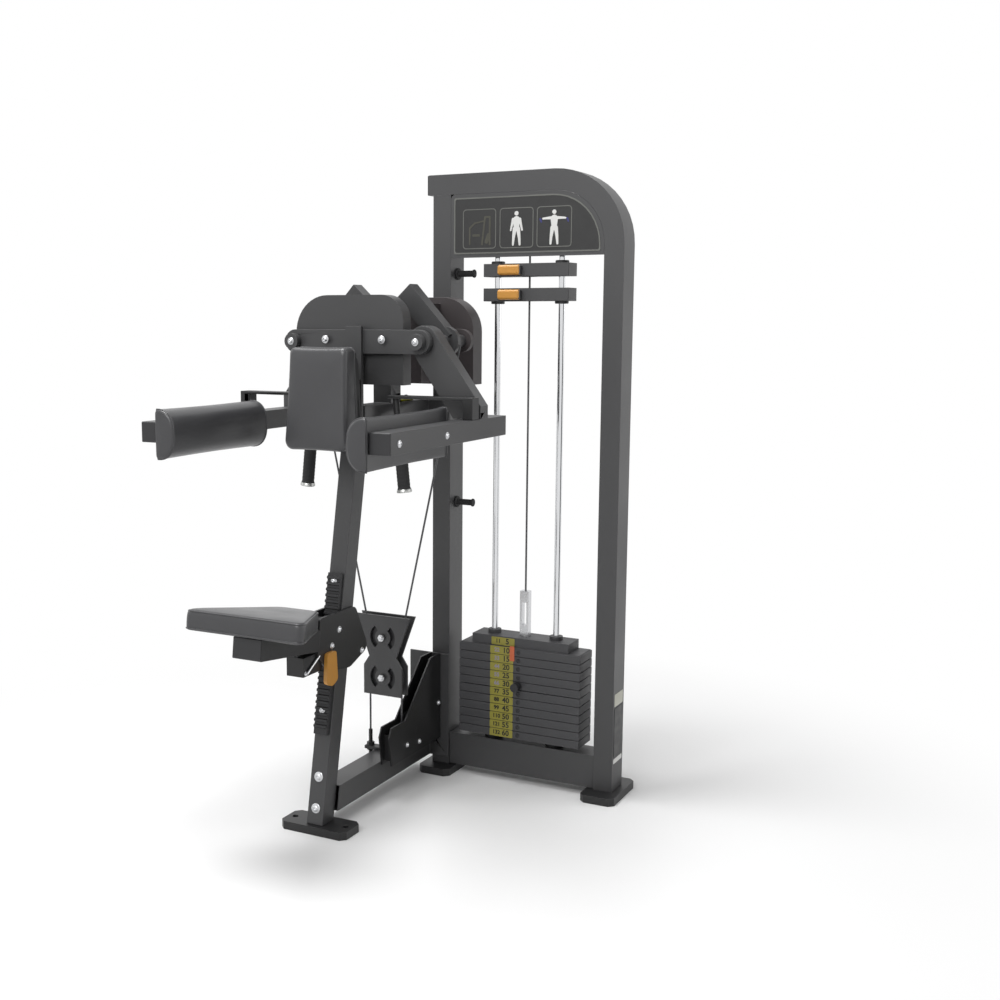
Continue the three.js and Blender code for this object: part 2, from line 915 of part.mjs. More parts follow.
const hoodFront = bearingBarBack + fitGap;
const hoodBack = hoodFront + hoodDepth;
const hoodShell = alongY(
  tombstone(left(hoodLeft), right(hoodRight), hoodLow, hoodTop, hoodRadius, hoodRightRadius),
  hoodFront,
  hoodBack,
);
const hoodHollow = alongY(
  tombstone(
    left(hoodLeft - sheetWall),
    right(hoodRight - sheetWall),
    hoodLow - overrun,
    hoodTop - sheetWall,
    hoodRadius - sheetWall,
    hoodRightRadius - sheetWall,
  ),
  hoodFront + sheetWall,
  hoodBack + overrun,
);
const hoodCuts = pivotBores(hoodFront, hoodBack)[0];
const hoodNotch = box(
  left(hoodLeft + overrun),
  left(pivotSpread - shaftRadius - overrun),
  hoodFront + sheetWall,
  hoodBack + overrun,
  pivotHeight - shaftRadius - overrun,
  pivotHeight + shaftRadius + overrun,
);
add("front_hood", cut(hoodShell, hoodHollow, hoodCuts, hoodNotch), blackPaint);

// Chest pad on its board and tube
const boardBack = chestBack + fitGap + boardThickness;
function chestOutline(inset, radius) {
  return roundedOutline(
    [
      [left(chestBottomHalf - inset), chestLow + inset],
      [right(chestBottomHalf - inset), chestLow + inset],
      [right(chestTopHalf - inset), chestTop - inset],
      [left(chestTopHalf - inset), chestTop - inset],
    ],
    [radius, radius, radius, radius],
  );
}
const board = alongY(chestOutline(boardMargin, chestCorner), chestBack + fitGap, boardBack);
const chestTube = box(
  left(chestTubeHalf),
  right(chestTubeHalf),
  boardBack - boardThickness / 2,
  strutFront - fitGap,
  chestTubeLow,
  chestTubeTop,
);
const chestTubeBore = box(
  left(chestTubeHalf - tubeWall),
  right(chestTubeHalf - tubeWall),
  boardBack,
  strutFront + overrun,
  chestTubeLow + tubeWall,
  chestTubeTop - tubeWall,
);
add("chest_pad_board", cut(join(board, chestTube), chestTubeBore), blackPaint);

const softRings = [
  [5, 5, 0],
  [0, 0, 0.22],
  [0, 0, 0.6],
  [4, 4, 0.8],
  [14, 14, 0.93],
  [36, 36, 0.985],
];
add(
  "chest_pad",
  cushion(chestOutline(
    0, chestCorner,
  ), cornerSteps, chestThickness, softRings, (u, v, h) => [u, chestBack - h, v]),
  upholstery,
);

// Arms: each has a shaft with cam and counterweight, a lever welded to the padded tube, and a hand grip
const leverAxis = new THREE.Vector2(
  armTubeOuter - armTubeWidth / 2 - pivotSpread, armTubeTop - pivotHeight,
).normalize();
const leverSide = new THREE.Vector2(-leverAxis.y, leverAxis.x).multiplyScalar(leverWidth / 2);

function leverOutline(side) {
  const low = armTubeTop - tubeWall / 2;
  const at = (start, z) => {
    const t = (z - start.y) / leverAxis.y;
    return start.x + leverAxis.x * t;
  };
  const pivot = new THREE.Vector2(pivotSpread, pivotHeight);
  const outer = pivot.clone().add(leverSide);
  const inner = pivot.clone().sub(leverSide);
  const outerCut = Math.min(at(outer, low), armTubeOuter);
  const outerRise = outer.y + ((outerCut - outer.x) / leverAxis.x) * leverAxis.y;
  const points = [];
  const from = Math.atan2(leverSide.y, leverSide.x);
  for (let i = 0; i <= smallSides; i += 1) {
    const angle = from + (Math.PI * i) / smallSides;
    const x = pivot.x + (Math.cos(angle) * leverWidth) / 2;
    points.push([x, pivot.y + (Math.sin(angle) * leverWidth) / 2]);
  }
  points.push([at(inner, low), low], [outerCut, low], [outerCut, outerRise]);
  const turned = points.map(([x, z]) => [stationOffset + side * x, z]);
  return outline(turned);
}

function arm(side, name, leverFront, tubeEnd) {
  const x = stationOffset + side * pivotSpread;
  const mirror = (value) => stationOffset + side * value;
  const span = (a, b) => [Math.min(mirror(a), mirror(b)), Math.max(mirror(a), mirror(b))];
  const shaftFront = strutFront;
  const shaftBack = rearBarBack + shaftTail;
  const shaft = rodY(x, pivotHeight, shaftRadius, shaftFront, shaftBack);
  const cap = rodY(
    x, pivotHeight, shaftRadius + shaftTail, shaftFront - shaftHeadLength, bearingBarFront - fitGap,
  );
  const cam = rodY(
    x,
    pivotHeight,
    camTravelRadius - cableRadius - fitGap,
    yokePlane - camThickness / 2,
    yokePlane + camThickness / 2,
  );
  const direction = [Math.cos(counterAngle), Math.sin(counterAngle)];
  const normal = [direction[1] * (counterWidth / 2), -direction[0] * (counterWidth / 2)];
  const weight = alongY(
    outline(
      [
        [normal[0], normal[1]],
        [normal[0] + direction[0] * counterLength, normal[1] + direction[1] * counterLength],
        [-normal[0] + direction[0] * counterLength, -normal[1] + direction[1] * counterLength],
        [-normal[0], -normal[1]],
      ].map(([u, v]) => [x + side * u, pivotHeight + v]),
    ),
    counterFront,
    counterFront + counterThickness,
  );
  add(name + "_pivot_shaft", join(shaft, cap, cam, weight), blackPaint);

  const [tubeLeft, tubeRight] = span(armTubeOuter - armTubeWidth, armTubeOuter);
  const tube = cut(
    box(tubeLeft, tubeRight, armTubeFront, tubeEnd, armTubeLow, armTubeTop),
    box(
      tubeLeft + tubeWall,
      tubeRight - tubeWall,
      armTubeFront + tubeWall,
      tubeEnd + overrun,
      armTubeLow + tubeWall,
      armTubeTop - tubeWall,
    ),
  );
  const lever = cut(
    alongY(leverOutline(side), leverFront, leverFront + leverThickness),
    rodY(x, pivotHeight, shaftRadius + fitGap, leverFront - overrun, leverFront + leverThickness + overrun),
  );
  add(name + "_arm", join(tube, lever), framePaint);

  const padRings = [
    [4, 4, 0],
    [0, 0, 0.16],
    [1, 2, 0.4],
    [5, 10, 0.66],
    [14, 22, 0.86],
    [30, 38, 0.96],
  ];
  const padShape = roundedOutline(
    [
      [padFront, padLow],
      [padFront + padLength, padLow],
      [padFront + padLength, padLow + padHeight],
      [padFront, padLow + padHeight],
    ],
    [padCorner, padCorner, padCorner, padCorner],
  );
  const pad = cushion(padShape, cornerSteps, padDepth, padRings, (u, v, h) => [mirror(padBack - h), u, v]);
  add(name + "_arm_pad", side > 0 ? flipped(pad) : pad, upholstery);

  const bracketLow = armTubeTop + bracketRise;
  const [bracketLeft, bracketRight] = span(bracketInner, armTubeOuter);
  const plate = box(
    bracketLeft,
    bracketRight,
    handleY - bracketDepth / 2,
    handleY + bracketDepth / 2,
    bracketLow,
    bracketLow + bracketThickness,
  );
  const [riserLeft, riserRight] = span(armTubeOuter - armTubeWidth / 2, armTubeOuter);
  const riser = box(
    riserLeft,
    riserRight,
    handleY - bracketDepth / 2,
    handleY + bracketDepth / 2,
    armTubeTop + fitGap,
    bracketLow + bracketThickness / 2,
  );
  const top = [mirror(handleTopReach), handleY, bracketLow + bracketThickness / 2];
  const low = [mirror(handleLowReach), handleY, handleLow];
  const gripTop = top.map((value, i) => low[i] + (value - low[i]) * gripShare);
  const handle = join(
    plate, riser, rodBetween(top, low, handleRodRadius), rodBetween(gripTop, low, gripRadius),
  );
  add(name + "_handle", handle, rubber);
}

// Turns a mirrored closed surface right side out
function flipped(geometry) {
  const position = geometry.attributes.position.array;
  for (let i = 0; i < position.length; i += 9) {
    for (let k = 0; k < 3; k += 1) {
      const keep = position[i + 3 + k];
      position[i + 3 + k] = position[i + 6 + k];
      position[i + 6 + k] = keep;
    }
  }
  return geometry;
}

arm(1, "right", rightLeverFront, rightTubeEnd);
arm(-1, "left", leftLeverFront, leftTubeEnd);

// Floating pulley yoke between the arm cable and the tower cable
function crescent(height, side) {
  const shape = new THREE.Shape();
  const from = side > 0 ? -crescentSpread : Math.PI - crescentSpread;
  const to = side > 0 ? crescentSpread : Math.PI + crescentSpread;
  shape.absarc(stationOffset, height, crescentOuter, from, to, false);
  shape.absarc(stationOffset, height, crescentInner, to, from, true);
  shape.closePath();
  return shape;
}
const yokeOutline = outline([
  [left(yokeLowHalf), yokeBottom],
  [right(yokeLowHalf), yokeBottom],
  [right(yokeLowHalf), yokeLowShoulder],
  [right(yokeWaistHalf), yokeWaistHeight],
  [right(yokeTopHalf), yokeTop],
  [left(yokeTopHalf), yokeTop],
  [left(yokeWaistHalf), yokeWaistHeight],
  [left(yokeLowHalf), yokeLowShoulder],
]);
const yokeNear = yokePlane - yokePlateGap / 2 - yokePlateThickness;
const yokeFar = yokePlane + yokePlateGap / 2;
const yokeCuts = [yokeUpperHeight, yokeLowerHeight].flatMap((height) =>
  [-1, 1].map((side) => alongY(
    crescent(height, side), yokeNear - overrun, yokeFar + yokePlateThickness + overrun,
  )),
);
const yokePlates = [yokeNear, yokeFar].map((y) => alongY(yokeOutline, y, y + yokePlateThickness));
const yokeAxles = [yokeUpperHeight, yokeLowerHeight].map((height) =>
  rodY(
    stationOffset, height, axleRadius, yokeNear - yokePlateThickness,
    yokeFar + yokePlateThickness * 2, smallSides,
  ),
);
const cutPlates = yokePlates.map((plate) => cut(plate, ...yokeCuts));
add("pulley_yoke", join(...cutPlates, ...yokeAxles), blackPaint);
const upperPulley = add(
  "yoke_upper_pulley", pulley(upperPulleyTravel, axleRadius + fitGap, false, 0), rubber,
);
upperPulley.position.set(stationOffset, yokePlane, yokeUpperHeight);
const lowerPulley = add(
  "yoke_lower_pulley", pulley(lowerPulleyTravel, axleRadius + fitGap, false, 0), rubber,
);
lowerPulley.position.set(stationOffset, yokePlane, yokeLowerHeight);

// The arm cable leaves each cam, runs down and passes under the upper pulley
const inYokePlane = (u, v) => new THREE.Vector3(u, yokePlane, v);
const fall = pivotHeight - yokeUpperHeight;
const armCableLean =
  Math.atan2(pivotSpread, fall) - Math.asin(
    (camTravelRadius - upperPulleyTravel) / -Math.hypot(pivotSpread, fall),
  ) * -1;
const tangentShift = (radius) => [Math.cos(armCableLean) * radius, -Math.sin(armCableLean) * radius];
const camTangent = tangentShift(camTravelRadius);
const armCable = [
  inYokePlane(right(pivotSpread + camTangent[0]), pivotHeight + camTangent[1]),
  ...arc(
    stationOffset, yokeUpperHeight, upperPulleyTravel, -armCableLean, -Math.PI + armCableLean,
    inYokePlane,
  ),
  inYokePlane(left(pivotSpread + camTangent[0]), pivotHeight + camTangent[1]),
];
add("arm_cable", cable(armCable), cableSteel);

// The lift cable runs from its anchor over the lower pulley and down to the base pulley
const liftCable = [
  inYokePlane(anchorX, basePulleyHeight + fitGap),
  ...arc(stationOffset, yokeLowerHeight, lowerPulleyTravel, Math.PI, 0, inYokePlane),
  inYokePlane(cableX, basePulleyHeight + fitGap),
];
add("lift_cable", cable(liftCable), cableSteel);

// The tower cable runs round both base pulleys, up inside the left upright and over both top pulleys
const inSidePlane = (u, v) => new THREE.Vector3(cableX, u, v);
const inTowerPlane = (u, v) => new THREE.Vector3(u, stackPlane, v);
const towerCable = [
  ...arc(frontPulleyY, basePulleyHeight, towerPulleyTravel, Math.PI, Math.PI * 1.5, inSidePlane),
  ...arc(rearPulleyY, basePulleyHeight, towerPulleyTravel, Math.PI * 1.5, Math.PI * 2, inSidePlane),
  ...arc(topPulleyX, topPulleyHeight, towerPulleyTravel, Math.PI, Math.PI / 2, inTowerPlane),
  ...arc(stackPulleyX, topPulleyHeight, towerPulleyTravel, Math.PI / 2, 0, inTowerPlane),
];
add("tower_cable", cable(towerCable), cableSteel);
add(
  "stack_cable",
  cable([inTowerPlane(
    stackCentre, topPulleyHeight - fitGap,
  ), inTowerPlane(stackCentre, clevisTop + fitGap)]),
  cableSteel,
);

// Base and top pulleys turn on their own axles
const housingAxleHalf = housingPlateGap / 2 + housingPlateThickness;
[
  ["base_front_pulley", frontPulleyY],
  ["base_rear_pulley", rearPulleyY],
].forEach(([name, y]) => {
  const wheel = add(name, pulley(towerPulleyTravel, axleRadius, true, housingAxleHalf), rubber);
  wheel.rotation.z = Math.PI / 2;
  wheel.position.set(cableX, y, basePulleyHeight);
});
[
  ["top_left_pulley", topPulleyX],
  ["top_right_pulley", stackPulleyX],
].forEach(([name, x]) => {
  const wheel = add(
    name, pulley(towerPulleyTravel, axleRadius, true, hangerDepth / 2 + hangerThickness), rubber,
  );
  wheel.position.set(x, stackPlane, topPulleyHeight);
});

// Pulley housing at the foot of the left upright: two plates with a nose bar and a heel bar between them
const housingEnd = flangeFront - fitGap;
const housingFloor = baseTop + fitGap - slotHalf;
const housingOutline = outline([
  [housingEnd, housingFloor],
  [housingEnd, flangeRise],
  [housingEnd - bearingBarHeight, flangeRise],
  [housingSlopeStart, housingNoseHeight],
  [housingNose + footChamfer, housingNoseHeight],
  [housingNose, housingNoseHeight - footChamfer * 2],
  [housingNose + footChamfer, housingFloor],
]);
const plateNear = cableX - housingPlateGap / 2 - housingPlateThickness;
const plateFar = cableX + housingPlateGap / 2;
const noseBar = box(
  plateNear + housingPlateThickness / 2,
  plateFar + housingPlateThickness / 2,
  housingNose + footChamfer * 2,
  housingNose + footChamfer * 2 + sheetWall,
  housingFloor + overrun,
  housingNoseHeight - footChamfer * 2,
);
const heelBar = box(
  plateNear + housingPlateThickness / 2,
  plateFar + housingPlateThickness / 2,
  housingEnd - footChamfer * 2,
  housingEnd - footChamfer * 2 + sheetWall,
  flangeRise - footChamfer * 4,
  flangeRise - footChamfer,
);
const housingPlates = [plateNear, plateFar].map(
  (x) => alongX(housingOutline, x, x + housingPlateThickness)
);
const housingBores = [frontPulleyY, rearPulleyY].map((y) =>
  rodX(
    y, basePulleyHeight, axleRadius + fitGap, plateNear - overrun,
    plateFar + housingPlateThickness + overrun, smallSides * 2,
  ),
);
add("pulley_housing", cut(join(...housingPlates, noseBar, heelBar), ...housingBores), blackPaint);

// Cable anchor: a lug on the base beam with a threaded adjuster
const anchorRodLow = baseTop - bumperRadius;
const anchorLug = box(
  anchorX - anchorPlateDepth / 2,
  stationOffset,
  yokePlane - anchorPlateDepth / 2,
  yokePlane + anchorPlateDepth / 2,
  baseTop,
  baseTop + anchorPlateThickness,
);
const anchorRod = rodZ(anchorX, yokePlane, anchorRodRadius, anchorRodLow, basePulleyHeight, smallSides);
const nutPlaces = [baseTop - anchorNutHeight / 2 - fitGap, baseTop + anchorPlateThickness - fitGap];
const anchorNuts = nutPlaces.map(
  (z) => rodZ(anchorX, yokePlane, anchorNutRadius, z, z + anchorNutHeight, smallSides / 2)
);
add("cable_anchor", join(anchorLug, anchorRod, ...anchorNuts), bareSteel);

// Weight stack
const stackLeft = stackCentre - stackWidth / 2;
const stackRight = stackCentre + stackWidth / 2;
const stackFront = stackPlane - stackDepth / 2;
const stackBack = stackPlane + stackDepth / 2;
const boreRadius = rodRadius + rodPlay;
function stackBores(z0, z1) {
  return [
    ...rodPlaces.map((x) => rodZ(x, stackPlane, boreRadius, z0 - overrun, z1 + overrun, smallSides)),
    rodZ(stackCentre, stackPlane, selectorRadius + rodPlay, z0 - overrun, z1 + overrun, smallSides),
  ];
}
function pinBore(level) {
  return rodY(stackCentre, level, pinRadius + rodPlay / 2, stackFront - overrun, stackPlane, smallSides);
}
const restingPlates = [];
const restingPins = [];
for (let i = 0; i < plateCountResting; i += 1) {
  const z = stackLow + i * platePitch;
  restingPlates.push(box(stackLeft, stackRight, stackFront, stackBack, z, z + platePitch - plateGroove));
  restingPins.push(pinBore(z + platePitch / 2));
}
const restingCore = box(
  stackLeft + plateInset,
  stackRight - plateInset,
  stackFront + plateInset,
  stackBack - plateInset,
  stackLow + plateGroove,
  liftedLow - plateGroove - fitGap,
);
add(
  "resting_plates",
  cut(join(restingCore, ...restingPlates), ...stackBores(stackLow, liftedLow), ...restingPins),
  castIron,
);
for (let i = 0; i < plateCountLifted; i += 1) {
  const z = liftedLow + i * platePitch;
  const plate = box(stackLeft, stackRight, stackFront, stackBack, z, z + platePitch - plateGroove);
  const rib = box(
    stackLeft + plateInset,
    stackRight - plateInset,
    stackFront + plateInset,
    stackBack - plateInset,
    z + plateGroove,
    z + platePitch - fitGap,
  );
  const tools = [...stackBores(z, z + platePitch), pinBore(z + platePitch / 2)];
  add("lifted_plate_" + (i + 1), cut(join(plate, rib), ...tools), castIron);
}

rodPlaces.forEach((x, i) => {
  const side = i === 0 ? "left" : "right";
  add(side + "_guide_rod", rodZ(
    x, stackPlane, rodRadius, crossTubeHigh, shelfTop + shelfThickness,
  ), chrome);
  const bumper = rodZ(x, stackPlane, bumperRadius, crossTubeHigh, stackLow - fitGap);
  const bore = rodZ(x, stackPlane, rodRadius + fitGap, crossTubeHigh - overrun, stackLow + overrun);
  add(side + "_bumper", cut(bumper, bore), rubber);
});

const headBase = box(
  stackCentre - headWidth / 2,
  stackCentre + headWidth / 2,
  stackPlane - headDepth / 2,
  stackPlane + headDepth / 2,
  headLow,
  headTop,
);
const bushes = rodPlaces.map(
  (x) => rodZ(x, stackPlane, bushRadius, headTop - plateGroove, headTop + bushHeight)
);
const headBores = rodPlaces.map((x) =>
  rodZ(x, stackPlane, rodRadius + fitGap, headLow - overrun, headTop + bushHeight + overrun),
);
const headCentreBore = rodZ(
  stackCentre, stackPlane, selectorRadius + fitGap, headLow - overrun, headTop + overrun,
);
add("head_plate", cut(join(headBase, ...bushes), ...headBores, headCentreBore), castIron);

// Selector rod with the clevis that takes the cable
const selectorLow = stackLow + platePitch / 4;
const selector = rodZ(stackCentre, stackPlane, selectorRadius, selectorLow, headTop + plateInset);
const pinLevel = liftedLow + platePitch / 2;
const selectorHoles = [];
for (let i = 0; i < plateCountResting + plateCountLifted; i += 1) {
  const z = stackLow + (i + 1 / 2) * platePitch;
  selectorHoles.push(
    rodY(
      stackCentre, z, pinRadius + rodPlay / 2, stackPlane - selectorRadius * 2,
      stackPlane + selectorRadius * 2, smallSides / 2,
    ),
  );
}
const clevis = cut(
  box(
    stackCentre - clevisWidth / 2,
    stackCentre + clevisWidth / 2,
    stackPlane - clevisDepth / 2,
    stackPlane + clevisDepth / 2,
    headTop + fitGap,
    clevisTop,
  ),
  box(
    stackCentre - clevisWindow / 2,
    stackCentre + clevisWindow / 2,
    stackPlane - clevisDepth,
    stackPlane + clevisDepth,
    headTop + clevisHeight / 4,
    clevisTop - clevisHeight / 4,
  ),
);
add("selector_rod", cut(join(selector, clevis), ...selectorHoles), bareSteel);

const pinFront = stackFront - pinKnobGap - pinKnobLength;
const pin = join(
  rodY(
    stackCentre, pinLevel, pinRadius, pinFront + pinKnobLength / 2, stackFront + pinReach,
    smallSides / 2,
  ),
  rodY(stackCentre, pinLevel, pinKnobRadius, pinFront, pinFront + pinKnobLength, smallSides * 2),
);
add("selector_pin", pin, rubber);

// Add-on weights parked on the guide rods
[
  ["upper_add_on_weight", addOnUpper],
  ["lower_add_on_weight", addOnLower],
].forEach(([name, z]) => {
  const front = stackPlane - addOnDepth / 2;
  const block = box(
    stackCentre - addOnWidth / 2,
    stackCentre + addOnWidth / 2,
    front,
    front + addOnDepth,
    z,
    z + addOnHeight,
  );
  const grip = box(
    stackCentre - addOnHandleWidth - addOnHandleDepth / 2,
    stackCentre - addOnHandleDepth / 2,
    front - addOnHandleDepth,
    front + plateInset,
    z + (addOnHeight - addOnHandleHeight) / 2,
    z + (addOnHeight + addOnHandleHeight) / 2,
  );
  const bores = [
    ...rodPlaces.map(
      (x) => rodZ(x, stackPlane, rodRadius + fitGap, z - overrun, z + addOnHeight + overrun)
    ),
    rodZ(stackCentre, stackPlane, addOnBore, z - overrun, z + addOnHeight + overrun),
  ];
  add(name, cut(join(block, grip), ...bores), blackPaint);
});

// Pegs for spare plates on the left upright
[
  ["upper_peg", pegUpper],
  ["lower_peg", pegLower],
].forEach(([name, z]) => {
  const base = halfTube + fitGap;
  add(
    name,
    join(
      rodX(0, z, pegRadius, base, base + pegLength),
      rodX(0, z, pegFlangeRadius, base, base + pegFlange),
      rodX(0, z, pegRadius + pegFlange / 2, base + pegLength - pegFlange, base + pegLength),
    ),
    rubber,
  );
});

// Seat: cushion on its pan, in a group tilted with the seat
const seat = new THREE.Group();
seat.position.set(stationOffset, seatNear, seatLow);
seat.rotation.x = -seatTilt;
model.add(seat);
const seatRings = [
  [6, 6, 0],
  [0, 0, 0.2],
  [0, 0, 0.58],
  [4, 4, 0.8],
  [14, 14, 0.93],
  [38, 38, 0.985],
];
const seatShape = roundedOutline(
  [
    [-seatNearHalf, 0],
    [seatNearHalf, 0],
    [seatFarHalf, seatLength],
    [-seatFarHalf, seatLength],
  ],
  [seatCorner, seatCorner, seatCorner, seatCorner],
);
add("seat_pad", cushion(
  seatShape, cornerSteps, seatThickness, seatRings, (u, v, h) => [u, v, h]
), upholstery, seat);
const panEnd = (cheekFront - fitGap - seatNear) / Math.cos(seatTilt);
const pan = cut(
  box(-panHalf, panHalf, panFront, panEnd, -panHeight - fitGap, -fitGap),
  box(
    -panHalf + tubeWall,
    panHalf - tubeWall,
    panFront - overrun,
    panEnd + overrun,
    -panHeight - fitGap + tubeWall,
    -fitGap - tubeWall,
  ),
);
add("seat_pan", pan, blackPaint, seat);

// Parts that lie along the leaning post, in a group turned with it; local Z runs up the post
const along = new THREE.Group();
along.position.set(stationOffset, postFrontAtFloor, footThickness);
along.rotation.x = -lean;
model.add(along);
const upPost = (z) => (z - footThickness) / Math.cos(lean);

const railPoints = [
  [-fitGap, upPost(railLow)],
  [-fitGap, upPost(railTop)],
  [-fitGap - railThickness, upPost(railTop)],
];
const ribCount = Math.floor((upPost(railTop) - upPost(railLow) - railPitch) / railPitch);
for (let i = 0; i < ribCount; i += 1) {
  const u = upPost(railTop) - railPitch * (i + 1 / 2);
  railPoints.push(
    [-fitGap - railThickness, u],
    [-fitGap - railThickness - railRib, u - railPitch / 8],
    [-fitGap - railThickness - railRib, u - railPitch / 2],
    [-fitGap - railThickness, u - (railPitch * 5) / 8],
  );
}
railPoints.push([-fitGap - railThickness, upPost(railLow)]);
add("seat_rail", alongX(outline(railPoints), -railHalf, railHalf), rubber, along);

const springY = postDepth + springOffset;
const springTube = new THREE.LatheGeometry(
  [
    [springBore, 0],
    [springRadius, 0],
    [springRadius, upPost(springTop) - upPost(springLow)],
    [0, upPost(springTop) - upPost(springLow)],
    [0, upPost(springTop) - upPost(springLow) - springEnd],
    [springBore, upPost(springTop) - upPost(springLow) - springEnd],
    [springBore, 0],
  ].map(([r, h]) => new THREE.Vector2(r, h)),
  roundSides,
)
  .rotateX(Math.PI / 2)
  .translate(0, springY, upPost(springLow));
const springMount = box(
  -springRadius,
  springRadius,
  postDepth + fitGap,
  springY,
  upPost(springTop) - springMountLength,
  upPost(springTop) - springEnd / 2,
);
const springClear = new THREE.CylinderGeometry(
  springBore, springBore, upPost(springTop) - upPost(springLow), roundSides,
)
  .rotateX(Math.PI / 2)
  .translate(0, springY, (upPost(springTop) + upPost(springLow)) / 2 - springEnd);
add("gas_spring_body", cut(join(springTube, springMount), springClear), blackPaint, along);

const cheekInner = postWidth / 2 + fitGap;
const springRodTop = upPost(springLow) + springInsertion;
const springRod = rodZ(0, springY, springRodRadius, upPost(springPinHeight), springRodTop);
const springPin = box(
  -cheekInner + fitGap,
  cheekInner - fitGap,
  springY - springPinHalf,
  springY + springPinHalf,
  upPost(springPinHeight) - springPinHalf,
  upPost(springPinHeight) + springPinHalf,
);
add("gas_spring_rod", join(springRod, springPin), chrome, along);

// Seat carriage: two cheeks beside the post, joined by a block in front of the rail, with the latch box
const cheekOutline = roundedOutline(
  [
    [cheekFront, latchTop - overrun],
    [cheekFront + footChamfer * 4, cheekLow + footChamfer],
    [postFront(cheekLow) + postRun, cheekLow],
    [cheekTip, blockLow],
    [postFront(cheekTop) + postRun, cheekTop],
    [cheekFront + footChamfer, cheekTop],
  ],
  [cheekEdgeRadius, cheekCornerRadius, cheekHeelRadius, cheekTipRadius, cheekCornerRadius, cheekTopRadius],
);
const cheeks = [-1, 1].map((side) => {
  const near = stationOffset + side * cheekInner;
  const far = near + side * cheekThickness;
  return alongX(cheekOutline, Math.min(near, far), Math.max(near, far));
});
const weldReach = cheekThickness / 2;
const block = box(
  left(cheekInner + weldReach),
  right(cheekInner + weldReach),
  cheekFront,
  blockBack,
  latchTop - overrun * 2,
  cheekTop - footChamfer,
);
const latch = box(
  left(cheekInner),
  right(cheekInner),
  latchFront,
  cheekFront + footChamfer * 2,
  latchLow + footChamfer,
  latchTop,
);
add("seat_carriage", join(...cheeks, block, latch), blackPaint);

// Release lever on the right cheek
const releaseInner = stationOffset + cheekInner + cheekThickness + fitGap;
const releaseMid = (releaseFront + releaseBack) / 2;
const releaseShape = roundedOutline(
  [
    [releaseFront + footChamfer / 2, releaseTop],
    [releaseFront, releaseLow + footChamfer],
    [releaseMid, releaseLow],
    [releaseBack, releaseLow + footChamfer],
    [releaseBack - footChamfer / 2, releaseTop],
  ],
  [8, 8, 10, 8, 8],
);
add("seat_release_lever", alongX(releaseShape, releaseInner, releaseInner + releaseThickness), orange);

export default model;
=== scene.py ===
"""Lateral raise machine: finishes, cushions, cables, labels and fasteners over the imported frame."""

import json
import math

import bmesh
import bpy
from mathutils import Matrix, Vector


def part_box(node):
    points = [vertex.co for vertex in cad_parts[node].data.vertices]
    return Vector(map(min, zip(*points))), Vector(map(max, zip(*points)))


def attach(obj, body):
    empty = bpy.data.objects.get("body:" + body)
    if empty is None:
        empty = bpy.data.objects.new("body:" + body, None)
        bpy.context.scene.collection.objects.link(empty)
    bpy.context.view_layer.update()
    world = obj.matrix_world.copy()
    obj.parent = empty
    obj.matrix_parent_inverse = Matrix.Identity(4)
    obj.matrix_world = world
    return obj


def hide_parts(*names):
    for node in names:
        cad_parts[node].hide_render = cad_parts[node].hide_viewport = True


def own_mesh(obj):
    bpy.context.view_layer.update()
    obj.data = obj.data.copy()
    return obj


bl_info = {
    "name": "Lateral Raise Machine",
    "version": (1, 0, 0),
    "blender": (4, 5, 0),
    "location": "View3D > Sidebar > Raise Machine",
    "description": "Dresses the machine's solid frame with its finishes, cushions, cables and labels",
    "category": "Object",
}

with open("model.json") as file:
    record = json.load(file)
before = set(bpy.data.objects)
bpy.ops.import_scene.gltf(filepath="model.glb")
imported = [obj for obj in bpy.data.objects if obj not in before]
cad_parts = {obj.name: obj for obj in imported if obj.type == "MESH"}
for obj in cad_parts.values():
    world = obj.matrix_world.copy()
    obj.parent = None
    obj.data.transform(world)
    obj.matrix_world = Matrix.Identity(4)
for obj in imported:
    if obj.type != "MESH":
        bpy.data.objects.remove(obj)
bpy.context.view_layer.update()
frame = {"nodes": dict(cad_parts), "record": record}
nodes = frame["nodes"]

MM = 0.001

# Places that several pieces share, in millimetres. The station is the user's seat, chest pad and arms.
STATION_X = -60
YOKE_Y = -226
STACK_X, STACK_Y = 228, -5
PLATE_PITCH = 22
PLATES_FROM = 122
PLATES_RESTING = 6
PLATES_LIFTED = 5
PIVOT_Z = 1144
PIVOT_SPREAD = 170
UPPER_WHEEL_Z = 401
LOWER_WHEEL_Z = 297
POST_LEAN = math.radians(10.9)
POST_FRONT_AT_FLOOR = -567.7
FOOT_TOP = 20

# The user's own sides, as signs of X, and the ways out of the machine's front, top and sides
ARMS = (("right", 1), ("left", -1))
FORWARD, UPWARD = (0, -1, 0), (0, 0, 1)
TO_RIGHT, TO_LEFT = (1, 0, 0), (-1, 0, 0)

# The material of each slot of the record, made by the first operator
FINISH_OF_SLOT = {}


# Colour and node helpers


def linear(hex_colour):
    """An sRGB hex colour as linear RGBA."""
    values = [int(hex_colour[i:i + 2], 16) / 255 for i in (1, 3, 5)]
    curve = [v / 12.92 if v <= 0.04045 else ((v + 0.055) / 1.055) ** 2.4 for v in values]
    return (*curve, 1.0)


def add_node(tree, kind, settings=None, links=None):
    """Add one node, with its sockets or properties set and its inputs linked."""
    node = tree.nodes.new(kind)
    for key, value in (settings or {}).items():
        if isinstance(key, int) or key in node.inputs:
            node.inputs[key].default_value = value
        else:
            setattr(node, key, value)
    for key, source in (links or {}).items():
        tree.links.new(source, node.inputs[key])
    return node


